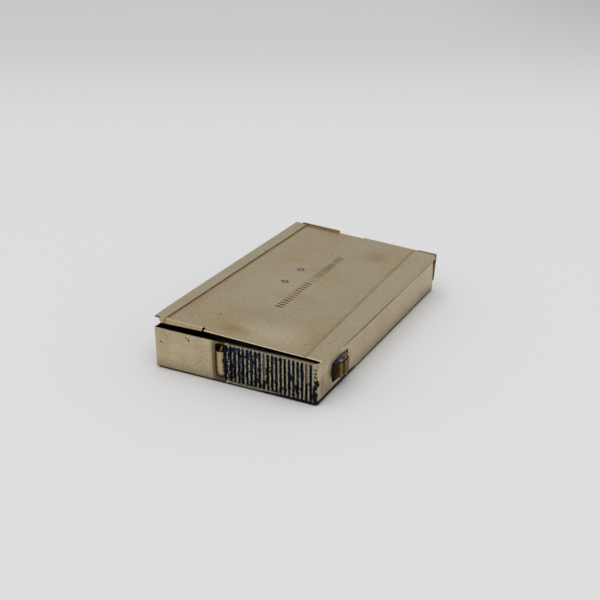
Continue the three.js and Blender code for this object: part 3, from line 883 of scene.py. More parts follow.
@dataclass(frozen=True)
class Nickel(Finish):
    """Worn nickel silver: a satin yellow-grey metal with tarnish, pits and rubbed edges, and painted shade
    and highlight in places.
    """

    tone: Colour = (178, 164, 136)
    warm: Colour = (176, 158, 124)
    # The tarnish colour also paints shade in some stains and along a seam, and the soot colour paints shade
    # in some soot marks and inside.
    tarnish_and_shade: Colour = (112, 88, 58)
    soot_and_shade: Colour = (30, 24, 20)
    rough: float = 0.4
    grain: Triple = (0.6, 0.05, 0.6)
    seed: float = 0.0
    clouds: float = 0.35
    pits: float = 0.6
    mottle: float = 0.34
    bands: float = 0.0
    tint: Colour = (170, 142, 96)
    tints: tuple[Mark, ...] = ()
    stains_and_shade: tuple[Mark, ...] = ()
    soot_and_shade_marks: tuple[Mark, ...] = ()
    rubs: tuple[Mark, ...] = ()
    seams: tuple[Seam, ...] = ()
    tilt: Tilt = Tilt()
    hollow: Hollow | None = None
    foot: float = 0.0
    engraved: bool = False
    rim_tone: Colour = (222, 208, 178)
    rim_share: float = 0.45

    def material(self) -> bpy.types.Material:
        """Builds the material.

        Two tones mix by broad clouds and fine specks, brown tarnish and painted shade lie in
        the stains and along the seams, the metal darkens towards the bottom below the foot
        height, pits are scattered dots, rubs are lighter, and cut edges take the rim tone:
        rubbed lighter, a painted highlight on the panel and the right rail, and painted shade
        on the tray. Tints are thin films of another colour, soot and painted shade fill the
        inside and lie in the soot marks, and fine streaks along the grain roughen the polish.

        Returns:
            The material.
        """
        bench = Bench(self.name)
        place = bench.place(self.tilt.degrees, self.tilt.axis)
        x, y, z = bench.parts(place)
        shifted = bench.node("ShaderNodeVectorMath", {"operation": "ADD"}, {0: place, 1: (self.seed,) * 3})
        cloud, fine, speck, grit = (bench.noise(shifted, grain) for grain in (CLOUD, FINE, SPECK, GRIT))
        streak = bench.noise(bench.stretched(shifted, self.grain), STREAK)

        stain_and_shade = marked(bench, place, fine, self.stains_and_shade)
        for seam in self.seams:
            off = (x - y * seam.lean - seam.x).size() + fine.swing(seam.half)
            stain_and_shade = stain_and_shade.most(off.step(seam.half, 0.0) * (cloud * 1.4 + 0.3) * seam.share)
        if self.foot:
            stain_and_shade = stain_and_shade.most((z + fine.swing(1.2)).step(self.foot, 0.35) * 0.45)

        wide_pits = bench.cells(shifted, 0.42).step(0.11, 0.045) * cloud.step(0.42, 0.56)
        small_pits = bench.cells(shifted, 1.3).step(0.1, 0.05) * fine.step(0.5, 0.62) * 0.5
        soot_and_shade = marked(bench, place, speck, self.soot_and_shade_marks).most(wide_pits.most(small_pits) * self.pits)
        if self.engraved:
            upper_side = z.step(9.42, 9.5) * 0.8 + 0.2
            soot_and_shade = soot_and_shade.most(self._graduations(bench, x, y, fine) * upper_side)
        if self.hollow:
            soot_and_shade = soot_and_shade.most(self._sooted_and_shaded(x, y, z, fine))

        lighter = tuple(min(255, channel * 1.09) for channel in self.tone)
        layers = []
        if self.bands:
            band = bench.noise(bench.stretched(shifted, (1.0, 1.0, 0.3)), BAND)
            layers += [(band.step(0.45, 0.8) * self.bands, self.tarnish_and_shade)]
            layers += [(band.step(0.5, 0.2) * self.bands, lighter)]
        layers += [
            (fine.step(0.5, 0.72) * 0.5, lighter),
            (speck.step(0.53, 0.7) * self.mottle, self.tarnish_and_shade),
            (speck.step(0.47, 0.32) * self.mottle, lighter),
            (grit.step(0.5, 0.68) * 0.3, self.tarnish_and_shade),
            (cloud.step(0.56, 0.8) * fine.step(0.4, 0.7) * self.clouds, self.tarnish_and_shade),
            (marked(bench, place, fine, self.rubs), self.rim_tone),
            (bench.rim() * (0.6 + 0.4 * fine) * self.rim_share, self.rim_tone),
            (marked(bench, place, fine, self.tints) * (0.7 + 0.5 * speck), self.tint),
            (stain_and_shade * (0.6 + 0.4 * fine), self.tarnish_and_shade),
            (soot_and_shade * 0.99, self.soot_and_shade),
        ]
        base = bench.blend((cloud * 0.6 + fine * 0.4).step(0.4, 0.6), self.tone, self.warm)
        for share, colour in layers:
            base = bench.blend(share, base, colour)

        rough = self.rough + fine.swing(0.22) + streak.swing(0.2) + stain_and_shade * 0.12 + soot_and_shade * 0.25
        relief = streak.swing(0.35) + fine.swing(0.5) + grit.swing(0.25) - soot_and_shade * 1.6
        sockets = {
            "Base Color": base,
            "Metallic": (1 - soot_and_shade * 0.85) * (1 - stain_and_shade * 0.25),
            "Roughness": rough.least(0.9),
            "Specular IOR Level": 0.12,
            "Normal": bench.bump(relief, 0.012),
        }
        return bench.finish(sockets)

    def _sooted_and_shaded(self, x: Term, y: Term, z: Term, noise: Term) -> Term:
        """Soot and painted shade inside the case, deepest towards the striker.

        Args:
            x, y, z: the place in millimetres.
            noise: what makes it uneven.

        Returns:
            The depth of the soot and painted shade.
        """
        room = self.hollow
        within = x.size().step(room.half_x + 0.1, room.half_x) * y.size().step(room.half_y + 0.1, room.half_y)
        level = z.step(room.low, room.low + 0.1) * z.step(room.high, room.high - 0.06)
        return within * level * ((0.0 - y).step(2.0, 24.0) * 0.4 + 0.56 + noise.swing(0.3))

    def _graduations(self, bench: Bench, x: Term, y: Term, noise: Term) -> Term:
        """A row of short cut bars along the lid, with two lozenges beside it.

        Args:
            bench: the material.
            x, y: the place in the shut lid's frame.
            noise: what wears them.

        Returns:
            How deep they are cut, from 0 to 1.
        """
        pitch, bar, first = 1.15, 0.27, -14.8
        row_x, row_y, row_half_x, row_half_y = 0.78, 1.5, 0.95, 16.4
        line = ((y - first).within(pitch) - pitch / 2).size().step(bar, bar * 0.6)
        row = (x - row_x).size().step(row_half_x, row_half_x - 0.15)
        row = row * (y - row_y).size().step(row_half_y, row_half_y - 0.2)
        patches = bench.noise(bench.stretched(bench.place(), (0.0, 1.0, 0.0)), Grain(0.16, 2.0, 0.5))
        ends = y.step(-4.0, -11.0) * 0.4 + y.step(6.0, 12.0) * 0.2
        worn = (patches.step(0.4, 0.58) * 0.5 + 0.42 + ends) * (0.7 + 0.6 * noise)
        depth = line * row * worn
        for centre in (-2.2, 5.7):
            lozenge = (x + 4.2).size() * 0.8 + (y - centre).size()
            ring = (lozenge - 0.68).size().step(0.36, 0.18)
            depth = depth.most(ring * (worn * 0.5 + 0.4))
        return depth


@dataclass(frozen=True)
class Striking(Finish):
    """The striker's finish: black and navy compound in the grooves, rubbed off the crests."""

    front: float
    metal: Colour = (188, 177, 148)
    worn: Colour = (112, 94, 82)
    black: Colour = (9, 8, 9)
    navy: Colour = (42, 62, 88)
    bare_grooves: tuple[Triple, ...] = ()
    chips: tuple[Mark, ...] = ()

    def material(self) -> bpy.types.Material:
        """Builds the material.

        Depth behind the front face tells groove from crest. The compound also bridges
        crests in streaks, and its blue shows in patches. Along the foot, higher towards the
        right, the plate is painted black as shadow.

        Returns:
            The material.
        """
        bench = Bench(self.name)
        place = bench.place()
        x, y, z = bench.parts(place)
        tall = bench.noise(bench.stretched(place, (1.0, 1.0, 0.42)), Grain(1.5, 4.0, 0.6))
        fine = bench.noise(place, Grain(3.2, 4.0, 0.65))
        patch = bench.noise(bench.stretched(place, (0.8, 0.3, 0.55)), Grain(1.15, 3.0, 0.55))
        sunk = (y - self.front + fine.swing(0.1)).step(0.016, 0.05)
        upper = z.step(2.0, 7.0)
        left = x.step(13.0, -1.0)

        bridge = (tall + left * 0.08 + upper * 0.03).step(0.56, 0.59) * x.step(18.2, 17.6)
        torn = x.step(-0.95, -1.35)
        flakes = (fine * 0.35 + tall * 0.65).step(0.44, 0.47)
        coat = sunk.most(bridge) * (1 - torn) + flakes * torn
        for at, low, high in self.bare_grooves:
            across = (x - at).size().step(0.55, 0.34)
            bare = across * z.step(low - 0.2, low + 0.3) * z.step(high + 0.3, high - 0.2)
            coat = coat * (1 - bare * (0.72 + 0.28 * fine))
        top = (z + fine.swing(0.5)).step(8.72, 8.95)
        foot = (z + fine.swing(0.7)).step(1.0, 0.7)
        flat = x.step(17.75, 17.95)
        coat = coat * (1 - top) * (1 - foot * 0.8) * (1 - flat)
        coat = coat.most(marked(bench, place, fine, self.chips))
        # Painted shadow: black along the foot, rising higher towards the right
        painted_foot_shadow = (z + fine.swing(0.4) - x.step(3.0, 14.0) * 0.32).step(0.62, 0.5)
        coat = coat.most(painted_foot_shadow)

        dark = torn * 0.06 + painted_foot_shadow
        hue = patch * 0.5 + fine * 0.5 + upper * 0.03 + left * 0.01 + bridge * 0.03 - dark
        ink = bench.blend(hue.step(0.565, 0.6) * (0.5 + 0.5 * fine), self.black, self.navy)
        metal = bench.blend((1 - coat) * sunk * (1 - torn), self.metal, self.worn)
        metal = bench.blend(fine.step(0.5, 0.75) * 0.35, metal, self.worn)
        sockets = {
            "Base Color": bench.blend(coat, metal, ink),
            "Metallic": (1 - coat) * (1 - sunk * 0.4),
            "Roughness": 0.42 + coat * 0.2 + fine.swing(0.3),
            "Specular IOR Level": 0.12,
            "Normal": bench.bump(coat * 0.6 + fine.swing(0.8) + tall.swing(0.5), 0.03),
        }
        return bench.finish(sockets)


@dataclass(frozen=True)
class Crown:
    """A round film of dirt and painted shade between the teeth: its axis in X and Y, where it is full and
    where the metal is rubbed clean.
    """

    x: float
    y: float
    low: float
    high: float


@dataclass(frozen=True)
class Turned(Finish):
    """Brass or steel with a handled skin: two tones, dirt and painted shade in the hollows and fine
    scratches.
    """

    tone: Colour
    dark: Colour
    light: Colour
    rough: float = 0.36
    dirt: float = 0.5
    grain: Triple = (1.0, 1.0, 4.0)
    rim_share: float = 0.5
    # Marks of painted shade where the part sits in shadow, and below the colour they are painted in
    painted_shade_marks: tuple[Mark, ...] = ()
    crown: Crown | None = None
    painted_shade: Colour = (14, 12, 12)

    def material(self) -> bpy.types.Material:
        """Builds the material: clouded tone, dark film in the low noise, bright rims, and painted
        shade in its marks.

        Returns:
            The material.
        """
        bench = Bench(self.name)
        place = bench.place()
        cloud = bench.noise(place, Grain(0.45, 4.0, 0.6))
        fine = bench.noise(place, Grain(2.6, 5.0, 0.68))
        streak = bench.noise(bench.stretched(place, self.grain), Grain(5.0, 4.0, 0.6))
        dirt_and_shade_film = (fine * 0.6 + cloud * 0.4).step(0.42, 0.62) * self.dirt
        if self.crown:
            x, y, _ = bench.parts(place)
            radius = ((x - self.crown.x) ** 2.0 + (y - self.crown.y) ** 2.0) ** 0.5
            dirt_and_shade_film = dirt_and_shade_film.most((radius + fine.swing(0.2)).step(self.crown.high, self.crown.low))
        painted_shade = marked(bench, place, fine, self.painted_shade_marks)
        base = bench.blend(cloud.step(0.38, 0.62), self.tone, self.light)
        base = bench.blend(dirt_and_shade_film, base, self.dark)
        base = bench.blend(bench.rim() * fine.step(0.35, 0.6) * self.rim_share, base, self.light)
        sockets = {
            "Base Color": bench.blend(painted_shade, base, self.painted_shade),
            "Metallic": (1 - dirt_and_shade_film * 0.35) * (1 - painted_shade * 0.9),
            "Roughness": (self.rough + streak.swing(0.3) + dirt_and_shade_film * 0.25 + painted_shade * 0.3).least(0.95),
            "Specular IOR Level": 0.15,
            "Normal": bench.bump(streak.swing(0.5) + fine.swing(0.7), 0.014),
        }
        return bench.finish(sockets)


class Workshop:
    """Lays forms into the scene as pieces and counts them."""

    def __init__(self) -> None:
        """No pieces yet and no finish made."""
        self.pieces: list[bpy.types.Object] = []
        self.made: dict[str, bpy.types.Material] = {}

    def lay(
        self, name: str, form: Form, body: str, nodes: Sequence[str], look: Finish, sharp: float = 38.0
    ) -> None:
        """Makes a piece of a form.

        Args:
            name: the piece's name.
            form: its surface in millimetres.
            body: the CAD body that it rides on.
            nodes: the CAD nodes that it stands for.
            look: its finish, with the record's slot.
            sharp: edges steeper than this many degrees stay sharp.
        """
        mesh = bpy.data.meshes.new(name)
        mesh.from_pydata((form.places * MM).tolist(), [], form.faces)
        rim = mesh.attributes.new("rim", "FLOAT", "POINT")
        rim.data.foreach_set("value", form.rim.astype(np.float32))
        welded = bmesh.new()
        welded.from_mesh(mesh)
        bmesh.ops.remove_doubles(welded, verts=welded.verts, dist=WELD)
        bmesh.ops.dissolve_degenerate(welded, edges=welded.edges, dist=SHORTEST)
        bmesh.ops.recalc_face_normals(welded, faces=welded.faces)
        welded.to_mesh(mesh)
        welded.free()
        mesh.polygons.foreach_set("use_smooth", np.ones(len(mesh.polygons), bool))
        mesh.set_sharp_from_angle(angle=math.radians(sharp))
        if look.name not in self.made:
            self.made[look.name] = look.material()
        mesh.materials.append(self.made[look.name])
        piece = bpy.data.objects.new(name, mesh)
        bpy.context.scene.collection.objects.link(piece)
        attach(piece, body)
        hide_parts(*nodes)
        self.pieces.append(piece)
        log.info("%s: %d faces on %s", name, len(mesh.polygons), body)


def outlined_box(
    u_low: float, u_high: float, v_low: float, v_high: float, radius: float | Sequence[float]
) -> Array:
    """A rounded rectangle as a closed loop."""
    corners = [(u_low, v_low), (u_high, v_low), (u_high, v_high), (u_low, v_high)]
    return rounded(corners, radius)


# Finishes of this lighter

LID_TILT = Tilt(3.4, (19.05, 9.06))

WALL = Nickel(
    "nickel_wall",
    tone=(200, 186, 154),
    warm=(193, 175, 140),
    tarnish_and_shade=(104, 80, 54),
    soot_and_shade=(11, 10, 11),
    rough=0.38,
    seed=3.0,
    foot=3.4,
    bands=0.22,
    grain=(0.05, 0.05, 1.0),
    # The inner face is painted dark with soot and painted shade
    hollow=Hollow(),
    rubs=(Mark((-12.0, -32.5, 5.5), (5.5, 1.0, 2.2), 0.3, 0.9, Edge.SOFT),),
    stains_and_shade=(
        Mark((-3.1, -32.5, 4.6), (2.15, 1.5, 5.6), 1.0, 0.12, Edge.CRISP, True),
        Mark((-3.1, -32.5, 4.9), (3.0, 1.5, 6.4), 0.4, 0.2, Edge.EASY, True),
        Mark((-0.5, -32.5, 8.95), (3.2, 1.2, 0.5), 0.6, 0.4),
        Mark((19.0, -30.4, 3.6), (1.0, 1.7, 4.2), 0.72, 0.4, Edge.SOFT),
        # Painted shade in the pressed bowl beside the wheel slot
        Mark((19.0, -26.2, 4.6), (0.9, 1.7, 3.4), 0.5, 0.3, Edge.SOFT),
        Mark((19.0, -28.0, 1.5), (1.0, 5.0, 4.6), 0.6, 0.4, Edge.SOFT),
        Mark((19.0, -17.4, 4.4), (0.9, 0.9, 2.6), 0.35, 0.4, Edge.SOFT),
        Mark((12.0, -32.5, 0.8), (14.0, 1.0, 1.2), 0.4, 0.6, Edge.SOFT),
    ),
    soot_and_shade_marks=(
        # Painted shadow along the foot, all round, thicker along the right wall and by the front right corner
        Mark((0.0, 0.0, 0.2), (40.0, 60.0, 0.46), 0.6, 0.2, Edge.CRISP, True),
        Mark((19.2, 0.0, 0.2), (1.2, 38.0, 0.62), 1.0, 0.16, Edge.CRISP, True),
        Mark((19.2, -25.5, 0.2), (1.3, 12.0, 1.12), 1.0, 0.14, Edge.CRISP, True),
        # Painted shade on the wall under the right rail's roll, a dark line along the seam
        Mark((19.3, -6.0, 8.25), (0.8, 16.0, 0.59), 1.0, 0.08, Edge.CRISP, True),
        Mark((19.3, -7.0, 8.1), (0.8, 6.0, 0.62), 0.8, 0.22),
        Mark((19.3, 19.0, 8.25), (0.8, 14.0, 0.53), 0.8, 0.1, Edge.CRISP, True),
        # Dark marks round the window, then spots and chips on the front and the right wall
        Mark((-3.0, -32.4, 4.6), (1.85, 1.0, 5.1), 0.8, 0.25, Edge.EASY, True),
        Mark((-2.6, -32.4, 0.7), (1.5, 1.0, 0.6), 0.6, 0.4),
        Mark((-2.6, -32.4, 9.1), (1.4, 1.0, 0.35), 0.7, 0.4),
        Mark((-17.35, -32.5, 6.2), (0.3, 0.8, 0.3), 0.85, 0.4),
        Mark((-11.1, -32.5, 8.45), (0.42, 0.8, 0.26), 0.7, 0.5),
        Mark((-10.5, -32.5, 8.05), (0.3, 0.8, 0.5), 0.75, 0.5),
        Mark((18.6, -32.3, 5.1), (0.52, 0.7, 0.75), 1.0, 0.9, Edge.CRISP),
        Mark((18.85, -32.0, 4.6), (0.4, 0.6, 0.55), 1.0, 0.9, Edge.CRISP),
        Mark((18.45, -32.4, 4.1), (0.42, 0.6, 0.8), 1.0, 0.9, Edge.CRISP),
        Mark((18.3, -32.4, 3.1), (0.3, 0.6, 0.8), 1.0, 0.9, Edge.CRISP),
        Mark((18.45, -32.4, 2.4), (0.6, 0.6, 0.75), 1.0, 0.9, Edge.CRISP),
        Mark((18.3, -32.42, 1.6), (0.5, 0.6, 0.9), 1.0, 0.9, Edge.CRISP),
        Mark((18.5, -32.4, 8.0), (0.2, 0.4, 0.28), 1.0, 0.8, Edge.CRISP),
        Mark((18.5, -32.4, 7.2), (0.17, 0.4, 0.36), 1.0, 0.9, Edge.CRISP),
        Mark((18.42, -32.4, 6.4), (0.2, 0.4, 0.3), 1.0, 0.8, Edge.CRISP),
        Mark((18.7, -32.2, 6.1), (0.12, 0.4, 0.2), 1.0, 0.8, Edge.CRISP),
        Mark((18.95, -31.6, 8.6), (0.3, 0.55, 0.1), 0.8, 0.4),
        Mark((19.0, -30.2, 7.6), (0.3, 0.3, 0.14), 0.8, 0.4),
        Mark((19.0, -29.3, 7.1), (0.3, 0.24, 0.16), 0.8, 0.4),
        Mark((19.0, -29.15, 5.0), (0.4, 0.07, 3.4), 0.45, 0.3, Edge.EASY, True),
    ),
)
BASE = Nickel(
    "nickel_base",
    tone=(168, 152, 120),
    warm=(150, 132, 98),
    tarnish_and_shade=(70, 54, 38),
    rough=0.46,
    seed=11.0,
    clouds=0.8,
    pits=0.9,
    # The tray is painted dark with soot and painted shade, and its cut edge nearly black as painted shadow
    # along the foot
    hollow=Hollow(half_x=40.0, half_y=60.0),
    rim_tone=(34, 29, 22),
    rim_share=1.7,
)
PANEL = Nickel(
    "nickel_panel",
    tone=(184, 172, 144),
    warm=(184, 163, 126),
    tarnish_and_shade=(116, 92, 58),
    rough=0.38,
    seed=7.0,
    mottle=0.46,
    grain=(1.0, 0.15, 1.0),
    tilt=LID_TILT,
    engraved=True,
    # The underside is painted dark with soot and painted shade
    hollow=Hollow(half_x=40.0, half_y=32.7, low=-40.0, high=9.43),
    # Bright cut edges: rubbed metal with a painted highlight
    rim_tone=(232, 220, 192),
    rim_share=1.1,
    rubs=(
        Mark((6.0, -26.0, 9.5), (13.0, 8.0, 2.0), 0.3, 0.5, Edge.SOFT),
        Mark((-3.0, -6.0, 9.5), (12.0, 14.0, 2.0), 0.12, 0.9, Edge.SOFT),
    ),
    # Tarnish along both rails' steps, with painted shade at the left rail's step
    seams=(Seam(14.9, -0.0272, 1.1, 0.55), Seam(-15.75, 0.0062, 0.55, 0.8)),
    tints=(
        Mark((-1.6, -28.8, 9.5), (5.6, 3.0, 2.0), 0.8, 0.9, Edge.SOFT),
        Mark((14.2, -25.0, 9.5), (1.8, 7.0, 2.0), 0.6, 0.9, Edge.SOFT),
        Mark((-14.6, -22.0, 9.5), (1.2, 11.0, 2.0), 0.5, 0.9, Edge.SOFT),
        Mark((7.9, 22.0, 9.5), (6.0, 7.0, 2.0), 0.5, 0.9, Edge.SOFT),
        Mark((1.0, -8.0, 9.5), (10.0, 4.4, 2.0), 0.35, 0.9, Edge.SOFT),
    ),
    stains_and_shade=(
        Mark((-2.6, -27.9, 9.5), (5.2, 2.2, 2.0), 0.22, 0.6, Edge.SOFT),
        Mark((7.9, 22.4, 9.5), (3.6, 4.2, 2.0), 0.3, 0.7, Edge.SOFT),
        Mark((2.0, -21.0, 9.5), (9.0, 7.0, 2.0), 0.14, 0.9, Edge.SOFT),
        Mark((-17.3, -32.7, 9.2), (0.35, 0.6, 0.9), 0.95, 0.3),
    ),
    soot_and_shade_marks=(
        Mark((-7.75, -24.2, 9.5), (0.34, 0.36, 2.0), 0.95, 0.4),
        Mark((-12.2, -28.2, 9.5), (0.26, 0.3, 2.0), 0.7, 0.6),
        Mark((-12.9, -27.2, 9.5), (0.2, 0.5, 2.0), 0.45, 0.8),
        Mark((13.3, -26.8, 9.5), (0.24, 0.34, 2.0), 0.6, 0.6),
        # Painted shade along the foot of the back lip
        Mark((-11.75, 32.15, 10.0), (5.9, 0.5, 0.42), 0.45, 0.2, Edge.CRISP, True),
    ),
)
RAIL = Nickel(
    "nickel_rail",
    tone=(188, 176, 149),
    warm=(182, 166, 132),
    soot_and_shade=(16, 14, 10),
    rough=0.36,
    seed=19.0,
    grain=(1.0, 0.15, 1.0),
    tilt=LID_TILT,
    clouds=0.3,
    pits=0.45,
    # The underside is painted dark with soot and painted shade
    hollow=Hollow(half_x=18.5, half_y=60.0, low=-40.0, high=9.68),
    soot_and_shade_marks=(
        # Painted shade: the front end and the hollow under its curl painted black
        Mark((-18.6, -32.4, 9.45), (0.75, 0.6, 0.4), 1.0, 0.1, Edge.CRISP, True),
        Mark((-18.0, -32.6, 9.55), (1.5, 0.32, 0.34), 1.0, 0.1, Edge.CRISP, True),
    ),
)
RIGHT_RAIL = Nickel(
    "nickel_right_rail",
    tone=(188, 177, 150),
    warm=(186, 169, 135),
    soot_and_shade=(14, 12, 9),
    tint=(178, 165, 136),
    rough=0.38,
    seed=29.0,
    grain=(1.0, 0.15, 1.0),
    tilt=LID_TILT,
    pits=0.5,
    # The underside is painted dark with soot and painted shade, and the bright rim is rubbed metal with a
    # painted highlight, the light bead along the roll
    hollow=Hollow(half_x=18.9, half_y=60.0, low=-40.0, high=9.7),
    seams=(Seam(15.1, -0.0272, 0.45, 0.35),),
    rim_tone=(238, 228, 202),
    rim_share=1.5,
    tints=(Mark((19.7, -31.8, 9.0), (0.9, 0.6, 1.1), 1.3, 0.2),),
    soot_and_shade_marks=(Mark((17.4, -24.3, 9.8), (0.3, 0.3, 2.0), 0.5, 0.6),),
)
FLANGE = Nickel(
    "nickel_flange",
    # The darker tone and the dark patch at the top right corner are painted shade: the flange hangs in the
    # shadow under the lid behind the back wall
    tone=(150, 136, 100),
    warm=(128, 112, 76),
    tarnish_and_shade=(64, 54, 34),
    rough=0.44,
    seed=37.0,
    tilt=LID_TILT,
    clouds=0.7,
    stains_and_shade=(Mark((19.4, 32.9, 9.0), (2.0, 1.2, 2.6), 0.95, 0.3),),
)
INNER = Nickel(
    "nickel_inner",
    tone=(172, 160, 132),
    warm=(156, 140, 106),
    rough=0.42,
    seed=43.0,
    clouds=0.6,
    pits=0.8,
    # Painted dark inside the case with soot and painted shade
    hollow=Hollow(half_y=60.0),
)
LEAF = Nickel(
    "nickel_leaf",
    tone=(150, 136, 106),
    warm=(130, 114, 82),
    tarnish_and_shade=(60, 46, 32),
    rough=0.44,
    seed=53.0,
    clouds=0.8,
    rim_share=0.2,
)
TONGUE = Nickel(
    "nickel_tongue",
    tone=(196, 182, 142),
    warm=(178, 160, 114),
    tarnish_and_shade=(96, 74, 44),
    rough=0.46,
    seed=61.0,
    clouds=0.9,
    pits=1.0,
    soot_and_shade_marks=(
        Mark((-2.15, -31.2, 4.5), (0.95, 1.2, 5.4), 1.0, 1.2, Edge.CRISP),
        Mark((-3.2, -31.9, 6.95), (2.2, 1.5, 0.3), 0.95, 0.4),
        Mark((-3.0, -31.8, 1.1), (2.6, 1.0, 0.6), 0.9, 0.2),
    ),
)
STRIKING = Striking(
    "striking_face",
    front=-32.5,
    bare_grooves=((7.01, 2.9, 9.0), (16.49, 4.6, 8.9)),
    chips=(
        Mark((-2.1, -32.2, 4.6), (0.5, 0.7, 5.6), 1.0, 0.8, Edge.CRISP, True),
        Mark((18.15, -32.45, 3.6), (0.3, 0.6, 1.0), 1.0, 0.9, Edge.CRISP),
        Mark((18.1, -32.42, 2.0), (0.4, 0.6, 1.2), 1.0, 0.8, Edge.CRISP),
    ),
)
BRASS = Turned(
    "brass_worn",
    tone=(116, 92, 50),
    dark=(26, 18, 11),
    light=(150, 126, 78),
    slot=Slot.BRASS,
    dirt=0.95,
    rim_share=0.25,
    # Darker between the teeth, dirt with painted shade; the mark is painted shade on the teeth where the
    # wheel sinks into the slot
    crown=Crown(15.8, -21.8, 4.24, 4.52),
    painted_shade_marks=(Mark((18.6, -26.0, 4.2), (2.0, 2.1, 4.0), 0.95, 0.4, Edge.CRISP),),
)
BRASS_CLEAN = Turned(
    "brass_inner",
    tone=(168, 138, 80),
    dark=(72, 52, 28),
    light=(196, 166, 104),
    slot=Slot.BRASS,
    rough=0.38,
    dirt=0.6,
)
BRASS_PIN = Turned(
    "brass_pin",
    tone=(96, 70, 36),
    dark=(20, 15, 12),
    light=(120, 90, 50),
    slot=Slot.BRASS,
    rough=0.42,
    dirt=0.9,
)
BRASS_FINGER = Turned(
    "brass_finger",
    tone=(150, 104, 52),
    dark=(44, 28, 18),
    light=(196, 148, 84),
    slot=Slot.BRASS,
    rough=0.4,
    dirt=0.8,
)
STEEL = Turned(
    "steel_dull",
    tone=(92, 93, 96),
    dark=(18, 18, 20),
    light=(214, 216, 220),
    slot=Slot.STEEL,
    rough=0.26,
    dirt=0.95,
    # Painted shade on the disc by the slot's edge
    painted_shade_marks=(Mark((18.4, -25.8, 6.0), (3.4, 2.6, 2.0), 0.9, 0.6, Edge.CRISP),),
)
SPRING_STEEL = Turned(
    "steel_spring",
    tone=(84, 88, 96),
    dark=(30, 32, 40),
    light=(140, 144, 152),
    slot=Slot.SPRING,
    rough=0.3,
)


# The lighter's sub-assemblies, in millimetres


